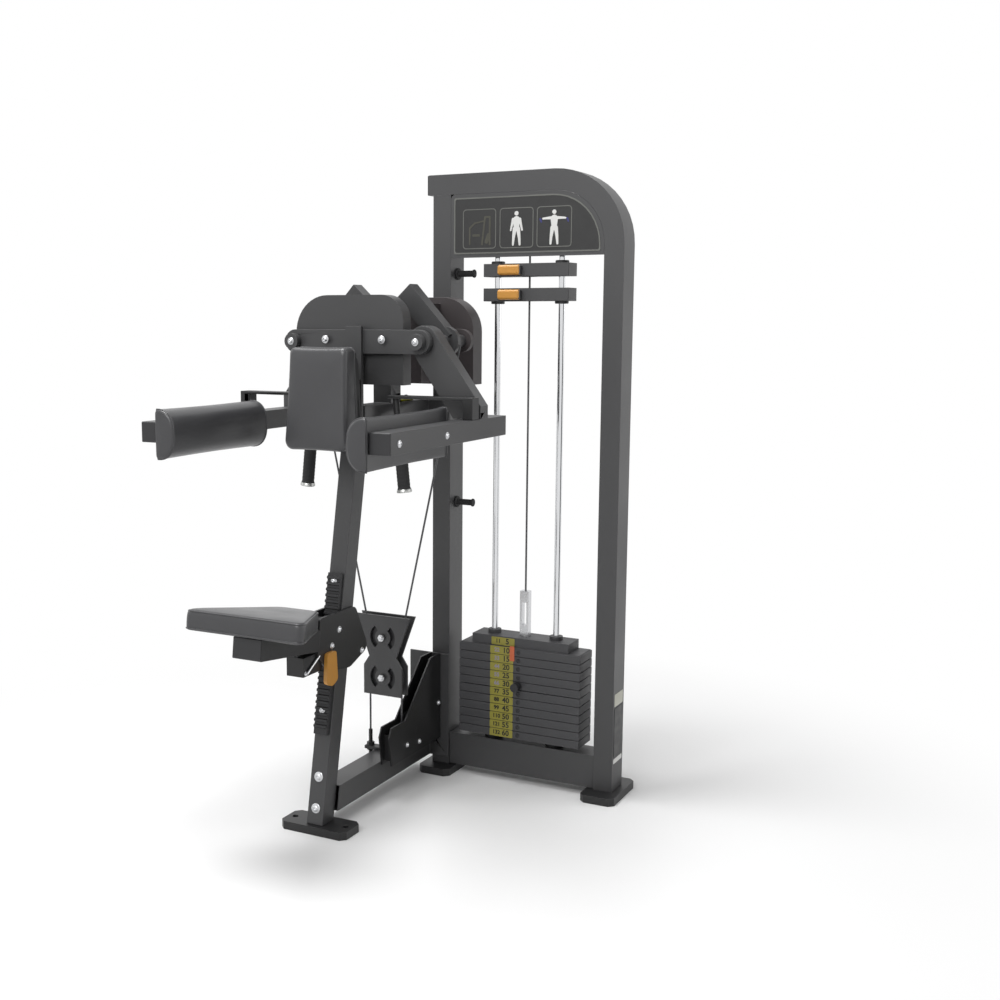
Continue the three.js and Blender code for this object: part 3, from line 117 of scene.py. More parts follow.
def start_material(name, colour, roughness, **settings):
    """A new material with one shader and its output, and the object's own coordinates in metres."""
    material = bpy.data.materials.new(name)
    material.use_nodes = True
    tree = material.node_tree
    tree.nodes.clear()
    values = {"Base Color": tuple(colour), "Roughness": roughness, **settings}
    shader = add_node(tree, "ShaderNodeBsdfPrincipled", values)
    add_node(tree, "ShaderNodeOutputMaterial", links={"Surface": shader.outputs["BSDF"]})
    place = add_node(tree, "ShaderNodeTexCoord").outputs["Object"]
    return material, tree, shader, place


def scaled(colour, share):
    """The colour with its brightness changed by a share."""
    return (*[min(1.0, c * share) for c in colour[:3]], 1.0)


def vary_colour(tree, shader, place, colour, patch_mm, spread):
    """Slow light and dark patches in the colour, as paint and vinyl have; gives their socket."""
    patches = add_node(
        tree, "ShaderNodeTexNoise", {"Scale": 1 / (patch_mm * MM), "Detail": 3.0}, {"Vector": place}
    )
    shades = {6: scaled(colour, 1 - spread), 7: scaled(colour, 1 + spread)}
    mix = add_node(
        tree, "ShaderNodeMix", {"data_type": "RGBA", **shades}, {0: patches.outputs["Fac"]}
    )
    tree.links.new(mix.outputs[2], shader.inputs["Base Color"])
    return patches.outputs["Fac"]


def raise_surface(tree, shader, height, strength, depth_mm):
    """Bump from a height socket."""
    bump = add_node(
        tree, "ShaderNodeBump", {"Strength": strength, "Distance": depth_mm * MM}, {"Height": height}
    )
    tree.links.new(bump.outputs["Normal"], shader.inputs["Normal"])


def vary_roughness(tree, shader, source, low, high):
    """Roughness that wanders between two values with a noise socket."""
    # Most of a noise texture's values lie between these two shares
    spread = add_node(
        tree, "ShaderNodeMapRange",
        {"From Min": 0.3, "From Max": 0.7, "To Min": low, "To Max": high}, {"Value": source},
    )
    tree.links.new(spread.outputs["Result"], shader.inputs["Roughness"])


# Materials


def powder_coated_steel(shade, colour, roughness):
    """Steel tube or plate, sprayed with polyester powder and baked."""
    # Gives the eye a satin skin with a soft, broad highlight and a faint orange peel.
    # The peel is about 1 mm on the real tube and is drawn at 3 mm, so that it shows.
    peel_mm = 3
    material, tree, shader, place = start_material(
        f"Powder-coated steel, {shade}", colour, roughness
    )
    patches = vary_colour(tree, shader, place, colour, patch_mm=240, spread=0.07)
    vary_roughness(tree, shader, patches, low=roughness - 0.05, high=roughness + 0.06)
    peel = add_node(
        tree, "ShaderNodeTexNoise", {"Scale": 1 / (peel_mm * MM), "Detail": 1.0}, {"Vector": place}
    )
    raise_surface(tree, shader, peel.outputs["Fac"], strength=0.12, depth_mm=0.3)
    return material


def vinyl_leatherette(colour):
    """Expanded vinyl on a knitted back, embossed with a leather grain."""
    # Gives the eye a dark skin with a low sheen that brightens on the rounded edges.
    # The embossed cells are 1.2 mm across and are drawn at 3 mm, so that they show.
    cell_mm, crease_share = 3, 0.22
    material, tree, shader, place = start_material(
        "Vinyl leatherette, charcoal", colour, 0.34, **{"Coat Weight": 0.15, "Coat Roughness": 0.24}
    )
    patches = vary_colour(tree, shader, place, colour, patch_mm=90, spread=0.08)
    vary_roughness(tree, shader, patches, low=0.31, high=0.4)
    cells = add_node(
        tree, "ShaderNodeTexVoronoi", {"feature": "DISTANCE_TO_EDGE", "Scale": 1 / (cell_mm * MM)},
        {"Vector": place},
    )
    creases = add_node(
        tree, "ShaderNodeMapRange", {"From Max": crease_share}, {"Value": cells.outputs["Distance"]}
    )
    raise_surface(tree, shader, creases.outputs["Result"], strength=0.22, depth_mm=0.25)
    return material


def hard_chrome_rod(colour):
    """Steel rod, ground round and plated with hard chrome."""
    # Gives the eye a near mirror that is drawn out along the rod, with faint rings left by grinding,
    # a few millimetres apart.
    grain_mm, squeeze_z = 160, 60.0
    material, tree, shader, place = start_material(
        "Hard chrome on ground steel rod", colour, 0.12, Metallic=1.0
    )
    stretch = add_node(tree, "ShaderNodeMapping", {"Scale": (1.0, 1.0, squeeze_z)}, {"Vector": place})
    rings = add_node(
        tree, "ShaderNodeTexNoise", {"Scale": 1 / (grain_mm * MM), "Detail": 2.0},
        {"Vector": stretch.outputs["Vector"]},
    )
    vary_roughness(tree, shader, rings.outputs["Fac"], low=0.1, high=0.13)
    return material


def zinc_plated_steel(colour):
    """Turned steel with a thin, clear zinc plate."""
    # Gives the eye a pale, slightly cloudy metal, softer than chrome.
    material, tree, shader, place = start_material(
        "Zinc-plated steel, clear passivated", colour, 0.3, Metallic=1.0
    )
    clouds = vary_colour(tree, shader, place, colour, patch_mm=14, spread=0.05)
    vary_roughness(tree, shader, clouds, low=0.26, high=0.34)
    return material


def painted_cast_iron(colour):
    """Grey iron plate, sand cast and dipped in paint."""
    # Gives the eye a dull, slightly pitted face. The sand's pits are 0.5 mm and are drawn at 4 mm,
    # stretched along the plate, so that the stack shows its fine level lines.
    pit_mm, stretch_x = 4, 0.12
    material, tree, shader, place = start_material("Cast iron, dip painted", colour, 0.5)
    patches = vary_colour(tree, shader, place, colour, patch_mm=60, spread=0.1)
    vary_roughness(tree, shader, patches, low=0.44, high=0.6)
    stretch = add_node(tree, "ShaderNodeMapping", {"Scale": (stretch_x, 1.0, 1.0)}, {"Vector": place})
    pits = add_node(
        tree, "ShaderNodeTexNoise", {"Scale": 1 / (pit_mm * MM), "Detail": 4.0},
        {"Vector": stretch.outputs["Vector"]},
    )
    raise_surface(tree, shader, pits.outputs["Fac"], strength=0.3, depth_mm=0.6)
    return material


def moulded_nylon(name, colour, roughness):
    """Glass-filled nylon, injection moulded."""
    # Gives the eye a dense black with a dry, greyish sheen and a fine spark-eroded texture,
    # 0.3 mm on the real wheel and drawn at 2 mm.
    grain_mm = 2
    material, tree, shader, place = start_material(name, colour, roughness)
    grain = add_node(
        tree, "ShaderNodeTexNoise", {"Scale": 1 / (grain_mm * MM), "Detail": 2.0}, {"Vector": place}
    )
    vary_roughness(tree, shader, grain.outputs["Fac"], low=roughness - 0.06, high=roughness + 0.08)
    raise_surface(tree, shader, grain.outputs["Fac"], strength=0.15, depth_mm=0.2)
    return material


def foam_rubber_grip(colour):
    """Nitrile foam sleeve, extruded and ground."""
    # Gives the eye a soft matt black. The open cells are 0.4 mm and are drawn at 2 mm.
    cell_mm = 2
    material, tree, shader, place = start_material("Nitrile foam rubber, ground", colour, 0.82)
    cells = add_node(tree, "ShaderNodeTexVoronoi", {"Scale": 1 / (cell_mm * MM)}, {"Vector": place})
    raise_surface(tree, shader, cells.outputs["Distance"], strength=0.35, depth_mm=0.3)
    vary_colour(tree, shader, place, colour, patch_mm=14, spread=0.18)
    return material


def moulded_abs(name, colour):
    """ABS, injection moulded, with a satin tool finish."""
    # Gives the eye an even, slightly waxy colour with a soft highlight and faint handling marks.
    material, tree, shader, place = start_material(name, colour, 0.38)
    marks = vary_colour(tree, shader, place, colour, patch_mm=12, spread=0.1)
    vary_roughness(tree, shader, marks, low=0.32, high=0.5)
    raise_surface(tree, shader, marks, strength=0.08, depth_mm=0.2)
    return material


def jacketed_wire_rope(colour):
    """Galvanised wire rope, extruded over with clear-black nylon."""
    # Gives the eye a thin dark line with small slanting lights where the six strands show through
    # the jacket: the colour is lighter on the strands' crests and darker in the grooves, partly the
    # wire's own colour and partly painted highlight and painted shade. The strands climb round the
    # rope once in 32 mm.
    strands, climb_mm = 6, 32
    material, tree, shader, _ = start_material("Wire rope in a nylon jacket", colour, 0.36)
    uv = add_node(tree, "ShaderNodeUVMap", {"uv_map": "lay"})
    parts = add_node(tree, "ShaderNodeSeparateXYZ", links={"Vector": uv.outputs["UV"]})
    turn = add_node(
        tree, "ShaderNodeMath", {"operation": "MULTIPLY_ADD", 1: 1 / (climb_mm * MM)},
        {0: parts.outputs["Y"], 2: parts.outputs["X"]},
    )
    phase = add_node(
        tree, "ShaderNodeMath", {"operation": "MULTIPLY", 1: math.tau * strands}, {0: turn.outputs[0]}
    )
    wave = add_node(tree, "ShaderNodeMath", {"operation": "SINE"}, {0: phase.outputs[0]})
    raise_surface(tree, shader, wave.outputs[0], strength=0.5, depth_mm=0.4)
    # Lighter on the crests and darker in the grooves: the wire showing through, with painted highlight
    # and painted shade.
    light = add_node(tree, "ShaderNodeMapRange", {"From Min": -1.0}, {"Value": wave.outputs[0]})
    mix = add_node(
        tree, "ShaderNodeMix", {"data_type": "RGBA", 6: scaled(colour, 0.75), 7: scaled(colour, 1.3)},
        {0: light.outputs["Result"]},
    )
    tree.links.new(mix.outputs[2], shader.inputs["Base Color"])
    return material


def printed_film(name, colour, roughness=0.35):
    """Polyester or polycarbonate film, screen printed on its back."""
    # Gives the eye a flat, even colour under a thin clear gloss, a little worn by hands.
    material, tree, shader, place = start_material(name, colour, roughness)
    wear = vary_colour(tree, shader, place, colour, patch_mm=25, spread=0.06)
    vary_roughness(tree, shader, wear, low=roughness - 0.05, high=roughness + 0.12)
    return material


def brushed_aluminium(colour):
    """Aluminium cap, turned and clear anodised."""
    # Gives the eye a pale satin ring with fine turning marks round it. The tool's feed of 0.2 mm is
    # drawn at 1.5 mm.
    feed_mm, draw_out = 1.5, 0.1
    material, tree, shader, place = start_material(
        "Aluminium, turned and anodised", colour, 0.34, Metallic=1.0
    )
    stretch = add_node(
        tree, "ShaderNodeMapping", {"Scale": (draw_out, draw_out, 1.0)}, {"Vector": place}
    )
    marks = add_node(
        tree, "ShaderNodeTexNoise", {"Scale": 1 / (feed_mm * MM), "Detail": 2.0},
        {"Vector": stretch.outputs["Vector"]},
    )
    vary_roughness(tree, shader, marks.outputs["Fac"], low=0.28, high=0.46)
    raise_surface(tree, shader, marks.outputs["Fac"], strength=0.1, depth_mm=0.1)
    return material


# Mesh helpers. A shape is a list of points in metres and a list of faces.


def join_shapes(shapes):
    """Several shapes as one."""
    points = []
    faces = []
    for shape_points, shape_faces in shapes:
        start = len(points)
        points.extend(shape_points)
        faces.extend([[start + i for i in face] for face in shape_faces])
    return points, faces


def new_piece(name, shape, body, slot, material=None, smooth=True, sharp_over=math.radians(35)):
    """A mesh piece that rides on a body, in the finish of its slot or in one of its own."""
    points, faces = shape
    mesh = bpy.data.meshes.new(name)
    mesh.from_pydata([tuple(p) for p in points], [], faces)
    mesh.update()
    if smooth:
        mesh.shade_smooth()
        mesh.set_sharp_from_angle(angle=sharp_over)
    mesh.materials.append(material or FINISH_OF_SLOT[slot])
    piece = bpy.data.objects.new(name, mesh)
    bpy.context.scene.collection.objects.link(piece)
    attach(piece, body)
    return piece


def flat_piece(name, shapes, body, slot, material=None):
    """A piece made of flat sheets with hard edges."""
    return new_piece(name, outward(join_shapes(shapes)), body, slot, material, smooth=False)


def round_edges(piece, radius, segments=3, sharper_than=math.radians(30)):
    """A rounded edge on every corner of a piece that is sharp enough."""
    bevel = piece.modifiers.new("Rounded edges", "BEVEL")
    bevel.width = radius
    bevel.segments = segments
    bevel.limit_method = "ANGLE"
    bevel.angle_limit = sharper_than
    bevel.harden_normals = True


def rounded_block(name, low, high, radius_mm, body, slot, material=None, stand=None, segments=3):
    """A block between two corners in millimetres, with rounded edges."""
    (x0, y0, z0), (x1, y1, z1) = low, high
    points = [
        Vector((x, y, z)) * MM for z in (z0, z1) for x, y in ((x0, y0), (x1, y0), (x1, y1), (x0, y1))
    ]
    if stand is not None:
        points = [stand @ p for p in points]
    sides = [(i, (i + 1) % 4, (i + 1) % 4 + 4, i + 4) for i in range(4)]
    shape = (points, [(3, 2, 1, 0), (4, 5, 6, 7), *sides])
    round_edges(new_piece(name, shape, body, slot, material), radius_mm * MM, segments)


def outward(shape):
    """The shape with every face turned to the outside."""
    points, faces = shape
    mesh = bmesh.new()
    corners = [mesh.verts.new(p) for p in points]
    for face in faces:
        mesh.faces.new([corners[i] for i in face])
    bmesh.ops.recalc_face_normals(mesh, faces=mesh.faces)
    mesh.verts.index_update()
    outward_faces = [[v.index for v in face.verts] for face in mesh.faces]
    mesh.free()
    return points, outward_faces


def facing(place, direction):
    """A matrix that stands a turned shape at a place in millimetres, its axis along a direction."""
    turn = Vector(direction).normalized().to_track_quat("Z", "Y").to_matrix().to_4x4()
    return Matrix.Translation(Vector(place) * MM) @ turn


def wall_faces(rows, count):
    """Faces between rows of points, each row going round once."""
    return [
        (row + i, row + (i + 1) % count, row + count + (i + 1) % count, row + count + i)
        for row in range(0, (rows - 1) * count, count) for i in range(count)
    ]


def turned(profile, stand, sides=24):
    """A profile of (radius, height) in millimetres, turned about its axis and closed at both ends."""
    points = []
    for radius, height in profile:
        for i in range(sides):
            angle = math.tau * i / sides
            local = Vector((radius * math.cos(angle), radius * math.sin(angle), height)) * MM
            points.append(stand @ local)
    last = (len(profile) - 1) * sides
    ends = [tuple(reversed(range(sides))), tuple(range(last, last + sides))]
    return points, wall_faces(len(profile), sides) + ends


def tube(path, radius_mm, sides=12, closed=False):
    """A round tube along a path in metres, and the angle and length at each corner of each face."""
    count = len(path)
    lengths = [0.0]
    for a, b in zip(path, path[1:]):
        lengths.append(lengths[-1] + (b - a).length)
    normal = None
    points = []
    for i, p in enumerate(path):
        before = path[i - 1] if i > 0 or closed else p
        after = path[(i + 1) % count] if i < count - 1 or closed else p
        along = (after - before).normalized()
        if normal is None:
            normal = along.orthogonal()
        normal = (normal - along * normal.dot(along)).normalized()
        across = along.cross(normal)
        for s in range(sides):
            angle = math.tau * s / sides
            points.append(p + (normal * math.cos(angle) + across * math.sin(angle)) * radius_mm * MM)
    faces = []
    lay = []
    for i in range(count if closed else count - 1):
        n = (i + 1) % count
        here, there = lengths[i], lengths[n] if n else lengths[i]
        for s in range(sides):
            t = (s + 1) % sides
            faces.append((i * sides + s, i * sides + t, n * sides + t, n * sides + s))
            left, right = s / sides, (s + 1) / sides
            lay.extend([(left, here), (right, here), (right, there), (left, there)])
    if not closed:
        last = (count - 1) * sides
        faces.extend([tuple(reversed(range(sides))), tuple(range(last, last + sides))])
        lay.extend([(0.0, 0.0)] * sides * 2)
    return points, faces, lay


def arc_points(centre, radius, start, end, step=math.radians(6)):
    """Points on an arc, as pairs, from one angle to another."""
    count = max(2, math.ceil(abs(end - start) / step))
    angles = [start + (end - start) * i / count for i in range(count + 1)]
    return [(centre[0] + radius * math.cos(a), centre[1] + radius * math.sin(a)) for a in angles]


def rounded_outline(corners, radii, step=math.radians(9)):
    """A closed outline through corners given anticlockwise, each rounded by its own radius."""
    points = []
    count = len(corners)
    for i, corner in enumerate(corners):
        here = Vector(corner)
        back = (Vector(corners[i - 1]) - here).normalized()
        ahead = (Vector(corners[(i + 1) % count]) - here).normalized()
        half = back.angle(ahead) / 2
        radius = radii[i]
        centre = here + (back + ahead).normalized() * (radius / math.sin(half))
        first = here + back * (radius / math.tan(half)) - centre
        last = here + ahead * (radius / math.tan(half)) - centre
        start = math.atan2(first.y, first.x)
        sweep = (math.atan2(last.y, last.x) - start) % math.tau
        points.extend(arc_points(centre, radius, start, start + sweep, step))
    return points


def tapered_outline(middle, low_half, high_half, low, high, radii, inset=0):
    """A rounded outline with half widths of its own at its low and its high edge."""
    return rounded_outline(
        [
            (middle - low_half + inset, low + inset), (middle + low_half - inset, low + inset),
            (middle + high_half - inset, high - inset), (middle - high_half + inset, high - inset),
        ],
        radii,
    )


def box_outline(low, high, radii, inset=0):
    """A rounded outline inside a box by an inset."""
    (u0, v0), (u1, v1) = low, high
    return rounded_outline(
        [
            (u0 + inset, v0 + inset), (u1 - inset, v0 + inset),
            (u1 - inset, v1 - inset), (u0 + inset, v1 - inset),
        ],
        radii,
    )


def resampled(outline, spacing):
    """The same closed outline with no step longer than a spacing."""
    points = []
    for a, b in zip(outline, outline[1:] + outline[:1]):
        a, b = Vector(a), Vector(b)
        steps = max(1, math.ceil((b - a).length / spacing))
        points.extend([a.lerp(b, i / steps) for i in range(steps)])
    return points


def on_front(y):
    """Places flat outlines on a face that looks forward, at a y in millimetres."""
    return lambda u, v, h: Vector((u, y - h, v)) * MM


def on_right(x):
    """Places flat outlines on a face that looks to the user's right, at an x in millimetres."""
    return lambda u, v, h: Vector((x + h, u, v)) * MM


def sheet_shape(outline, front, back, place):
    """A flat plate between two heights, from an outline in millimetres."""
    count = len(outline)
    points = [place(u, v, front) for u, v in outline] + [place(u, v, back) for u, v in outline]
    sides = [(i, i + count, (i + 1) % count + count, (i + 1) % count) for i in range(count)]
    return points, [tuple(range(count)), tuple(reversed(range(count, 2 * count))), *sides]


def ring_shape(outer, inner, front, back, place):
    """A flat frame between two outlines that have the same count of points."""
    points = []
    rows = ((outer, back), (outer, front), (inner, front), (inner, back))
    for outline, height in rows:
        points.extend([place(u, v, height) for u, v in outline])
    return points, wall_faces(len(rows), len(outer))


# Settings


def colour_setting(name, description, hex_colour):
    """A colour that the user can change."""
    return bpy.props.FloatVectorProperty(
        name=name, description=description, subtype="COLOR", size=4, min=0, max=1,
        default=linear(hex_colour),
    )


def length_setting(name, description, length_mm):
    """A length that the user can change."""
    return bpy.props.FloatProperty(
        name=name, description=description, subtype="DISTANCE", unit="LENGTH", min=0,
        default=length_mm * MM,
    )


class FinishSettings(bpy.types.PropertyGroup):
    """Colours and edges of the painted frame and the metal parts."""

    charcoal: colour_setting("Charcoal", "Powder coat of the tubes", "#3d3d3e")
    black: colour_setting("Black", "Powder coat of the plates, head and feet", "#1a1a1b")
    iron: colour_setting("Plates", "Paint of the weight plates", "#3e3e40")
    orange: colour_setting("Orange", "Plastic of the lever and the add-on sleeves", "#c1893c")
    edge: length_setting("Edge radius", "Rounding of the frame's sharp edges", 1.6)


class CushionSettings(bpy.types.PropertyGroup):
    """Colour and seams of the four cushions."""

    colour: colour_setting("Vinyl", "Colour of the covers", "#39393b")
    welt: length_setting("Welt radius", "Radius of the piped seams", 1.7)
    pull: length_setting("Pull", "How far the sides draw in between their corners", 2.0)
    fill: bpy.props.FloatProperty(
        name="Fill", description="How tight the foam fills its cover", subtype="FACTOR",
        min=0, max=1, default=0.9,
    )


class CableSettings(bpy.types.PropertyGroup):
    """Wire ropes of the drive."""

    colour: colour_setting("Jacket", "Colour of the jacket", "#4c4c4e")
    diameter: length_setting("Diameter", "Rope and jacket together", 5)


class LabelSettings(bpy.types.PropertyGroup):
    """Films and plates that carry numbers or plain motifs."""

    film: colour_setting("Weight label", "Film of the weight label", "#8f8836")
    placard: colour_setting("Placard", "Film of the placard", "#191919")
    step: bpy.props.IntProperty(
        name="Weight step", description="Kilograms from one plate to the next", min=1, default=5,
    )


class StageSettings(bpy.types.PropertyGroup):
    """Floor, lamps and camera."""

    floor: colour_setting("Floor", "Colour of the floor", "#e8e8e8")
    key_power: bpy.props.FloatProperty(
        name="Key lamp", description="Power of the large lamp in front", subtype="POWER",
        unit="POWER", min=0, default=84.0,
    )
    lens: bpy.props.FloatProperty(
        name="Focal length", description="Focal length in millimetres", subtype="DISTANCE_CAMERA",
        min=1, default=46.92,
    )


# Finishes of the solid parts


FINE_EDGE_SHARE = 0.35
FINE_NODES = (
    "selector_pin", "selector_rod", "seat_rail", "cable_anchor", "gas_spring_rod",
    "left_guide_rod", "right_guide_rod", "yoke_upper_pulley", "yoke_lower_pulley",
    "base_front_pulley", "base_rear_pulley", "top_left_pulley", "top_right_pulley", "head_plate",
    "resting_plates", *(f"lifted_plate_{number}" for number in range(1, PLATES_LIFTED + 1)),
)
# Cut plates, whose narrow slots leave no room for a rounded edge
CUT_NODES = ("pulley_yoke", "pulley_housing")
# Parts that the real machine paints like its tubes
CHARCOAL_NODES = (
    "front_hood", "pulley_yoke", "info_panel", "right_pivot_shaft", "left_pivot_shaft",
    "upper_add_on_weight", "lower_add_on_weight",
)


def weld_and_smooth_group():
    """Geometry nodes that weld the split points and smooth all but the sharp edges."""
    weld_mm = 0.02
    smooth_under = math.radians(32)
    tree = bpy.data.node_groups.new("Weld and smooth", "GeometryNodeTree")
    tree.interface.new_socket("Geometry", in_out="INPUT", socket_type="NodeSocketGeometry")
    tree.interface.new_socket("Geometry", in_out="OUTPUT", socket_type="NodeSocketGeometry")
    start = add_node(tree, "NodeGroupInput")
    bare = add_node(
        tree, "GeometryNodeRemoveAttribute", {"Name": "custom_normal"}, {"Geometry": start.outputs[0]}
    )
    weld = add_node(
        tree, "GeometryNodeMergeByDistance", {"Distance": weld_mm * MM}, {"Geometry": bare.outputs[0]}
    )
    bend = add_node(tree, "GeometryNodeInputMeshEdgeAngle")
    soft = add_node(
        tree, "FunctionNodeCompare", {"data_type": "FLOAT", "operation": "LESS_THAN", 1: smooth_under},
        {0: bend.outputs["Unsigned Angle"]},
    )
    faces = add_node(
        tree, "GeometryNodeSetShadeSmooth", {"domain": "FACE"}, {"Geometry": weld.outputs[0]}
    )
    edges = add_node(
        tree, "GeometryNodeSetShadeSmooth", {"domain": "EDGE"},
        {"Geometry": faces.outputs[0], "Shade Smooth": soft.outputs[0]},
    )
    add_node(tree, "NodeGroupOutput", links={0: edges.outputs[0]})
    return tree


def dress_solid(name, material, edge, group):
    """Give a solid part its material, welded and smooth shading, and rounded edges."""
    part = nodes[name]
    if not part.material_slots:
        part.data.materials.append(material)
    for slot in part.material_slots:
        slot.link = "OBJECT"
        slot.material = material
    smooth = part.modifiers.new("Weld and smooth", "NODES")
    smooth.node_group = group
    if name not in CUT_NODES:
        share = FINE_EDGE_SHARE if name in FINE_NODES else 1.0
        round_edges(part, edge * share, 2, math.radians(40))


class RAISE_OT_finishes(bpy.types.Operator):
    """Paint, plate and round every solid part of the frame"""

    bl_idname = "raise_machine.finishes"
    bl_label = "Finish the Solid Parts"

    def execute(self, context):
        look = context.scene.raise_finish
        FINISH_OF_SLOT.update({
            "frame_paint": powder_coated_steel("charcoal", look.charcoal, 0.42),
            "black_paint": powder_coated_steel("black", look.black, 0.45),
            "upholstery": vinyl_leatherette(context.scene.raise_cushions.colour),
            "grip_rubber": foam_rubber_grip(linear("#1f1f20")),
            "pulley_nylon": moulded_nylon("Nylon, moulded, black", linear("#232325"), 0.45),
            "rail_plastic": moulded_nylon("Acetal, moulded, black", linear("#1d1d1f"), 0.5),
            "chrome": hard_chrome_rod(linear("#dcdddf")),
            "cast_iron": painted_cast_iron(look.iron),
            "orange_plastic": moulded_abs("ABS, moulded, orange", look.orange),
            "cable": jacketed_wire_rope(context.scene.raise_cables.colour),
            "bare_steel": zinc_plated_steel(linear("#cfd0d2")),
        })
        own_finish = {
            # The rear housing gets a darker, warmer copy of the frame's paint: painted shade for the
            # shadow that falls on it under the hood.
            "rear_housing": powder_coated_steel("painted shade brown", linear("#363132"), 0.5),
            "cable_anchor": FINISH_OF_SLOT["black_paint"],
            **{name: FINISH_OF_SLOT["frame_paint"] for name in CHARCOAL_NODES},
        }
        group = weld_and_smooth_group()
        slot_of = {part["node"]: part["material_slot"] for part in frame["record"]["subparts"]}
        for name in nodes:
            dress_solid(name, own_finish.get(name) or FINISH_OF_SLOT[slot_of[name]], look.edge, group)
        return {"FINISHED"}


# Cushions


CUSHION_SHARP = math.radians(80)
OUTLINE_STEP = 9
SEAT_EDGE = (STATION_X, -829, 528)
SEAT_TILT = math.radians(-7.3)


def cushion_rings(edge_mm):
    """Insets and height shares from the back edge, up the swelling side and over the crown."""
    rings = [(5.0, 0.0), (2.2, 0.03), (0.8, 0.08), (0.2, 0.18), (0.0, 0.4), (0.2, 0.62), (0.8, 0.74)]
    steps = 6
    for i in range(1, steps + 1):
        angle = math.radians(90) * i / steps
        rings.append((0.8 + edge_mm * (1 - math.cos(angle)), 0.74 + 0.2 * math.sin(angle)))
    rings.extend([(edge_mm + 9, 0.962), (edge_mm + 22, 0.98), (edge_mm + 40, 0.992)])
    return rings


def middle_and_half(outline):
    """The middle of an outline's box, and half its width and height."""
    lows = [min(p[i] for p in outline) for i in (0, 1)]
    highs = [max(p[i] for p in outline) for i in (0, 1)]
    sides = list(zip(lows, highs))
    return [(low + high) / 2 for low, high in sides], [(high - low) / 2 for low, high in sides]


def drawn_in(point, centre, half, pull):
    """A point of the outline, pulled towards the middle of its side."""
    shares = [(point[i] - centre[i]) / half[i] for i in (0, 1)]
    return [point[i] - shares[i] * pull * max(0.0, 1 - shares[1 - i] ** 2) for i in (0, 1)]


def ring_points(outline, inset, height, place, pull):
    """One ring of a cushion, its outline shrunk by an inset and set at a height."""
    centre, half = middle_and_half(outline)
    ring = []
    for p in outline:
        q = drawn_in(p, centre, half, pull)
        u, v = [centre[i] + (q[i] - centre[i]) * (1 - inset / half[i]) for i in (0, 1)]
        ring.append(place(u, v, height))
    return ring


def cushion_shape(outline, thickness, rings, place, pull):
    """A closed cushion through its rings, flat at the back and crowned in front."""
    count = len(outline)
    points = []
    for inset, share in rings:
        points.extend(ring_points(outline, inset, thickness * share, place, pull))
    faces = wall_faces(len(rings), count)
    centre, _ = middle_and_half(outline)
    back, last = len(points), len(points) - count
    front = back + 1
    points.extend([place(*centre, 0), place(*centre, thickness)])
    for i in range(count):
        n = (i + 1) % count
        faces.extend([(back, n, i), (front, last + i, last + n)])
    return points, faces


def cover_cushion(name, shape, body, node, welt_paths):
    """Make a cushion from its shape, with its piped seams, to stand for its solid."""
    look = bpy.context.scene.raise_cushions
    piece = new_piece(name, shape, body, "upholstery", sharp_over=CUSHION_SHARP)
    soften = piece.modifiers.new("Smooth cover", "SUBSURF")
    soften.levels = 1
    soften.render_levels = 1
    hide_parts(node)
    for number, path in enumerate(welt_paths, 1):
        points, faces, _ = tube(path, look.welt / MM, 8, closed=True)
        new_piece(
            f"{name}_welt_{number}", outward((points, faces)), body, "upholstery",
            sharp_over=CUSHION_SHARP,
        )


def add_cushion(name, body, node, outline, thickness, edge_mm, place, welts):
    """One flat cushion; welts gives the inset and the height share of each seam."""
    pull = bpy.context.scene.raise_cushions.pull / MM
    fine = resampled(outline, OUTLINE_STEP)
    shape = outward(cushion_shape(fine, thickness, cushion_rings(edge_mm), place, pull))
    paths = [ring_points(fine, inset, thickness * share, place, pull) for inset, share in welts]
    cover_cushion(name, shape, body, node, paths)


class RAISE_OT_chest_pad(bpy.types.Operator):
    """Upholstered chest pad, wider at its foot, on its board"""

    bl_idname = "raise_machine.chest_pad"
    bl_label = "Make the Chest Pad"

    def execute(self, context):
        low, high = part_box("chest_pad")
        board, crown = 14, 6
        back = high.y / MM - board
        thickness = (high.y - low.y) / MM - board + crown
        foot, top = 898, high.z / MM
        # The middle, half the width at the foot and at the top, and both ends
        sides = (-68, 86, 76, foot, top)
        # The pad's face leans: its foot stands further out from the board than its top
        lean = 18

        def place(u, v, h):
            return Vector((u, back - h * (1 + lean / thickness * (top - v) / (top - foot)), v)) * MM

        outline = tapered_outline(*sides, (22, 22, 12, 12))
        add_cushion(
            "chest_cushion", "frame", "chest_pad", outline, thickness, edge_mm=11, place=place,
            welts=[(0.6, 0.1)],
        )
        edge = tapered_outline(*sides, (18, 18, 9, 9), inset=7)
        sheet = sheet_shape(edge, 0.0, board + 1.0, on_front(high.y / MM))
        flat_piece("chest_board_edge", [sheet], "frame", "black_paint")
        return {"FINISHED"}


def seat_stand():
    """The seat's own place and tilt: its near edge, with its underside as the floor."""
    return Matrix.Translation(Vector(SEAT_EDGE) * MM) @ Matrix.Rotation(SEAT_TILT, 4, "X")


class RAISE_OT_seat_pad(bpy.types.Operator):
    """Upholstered seat, wide in front and narrow at the post"""

    bl_idname = "raise_machine.seat_pad"
    bl_label = "Make the Seat"

    def execute(self, context):
        stand = seat_stand()
        middle, near_half, far_half = -8, 161, 50
        near, far, thickness = -6, 228, 50
        outline = tapered_outline(middle, near_half, far_half, near, far, (16, 16, 30, 30))
        add_cushion(
            "seat_cushion", "seat", "seat_pad", outline, thickness, edge_mm=10,
            place=lambda u, v, h: stand @ (Vector((u, v, h)) * MM), welts=[(0.4, 0.1), (2.6, 0.86)],
        )
        return {"FINISHED"}


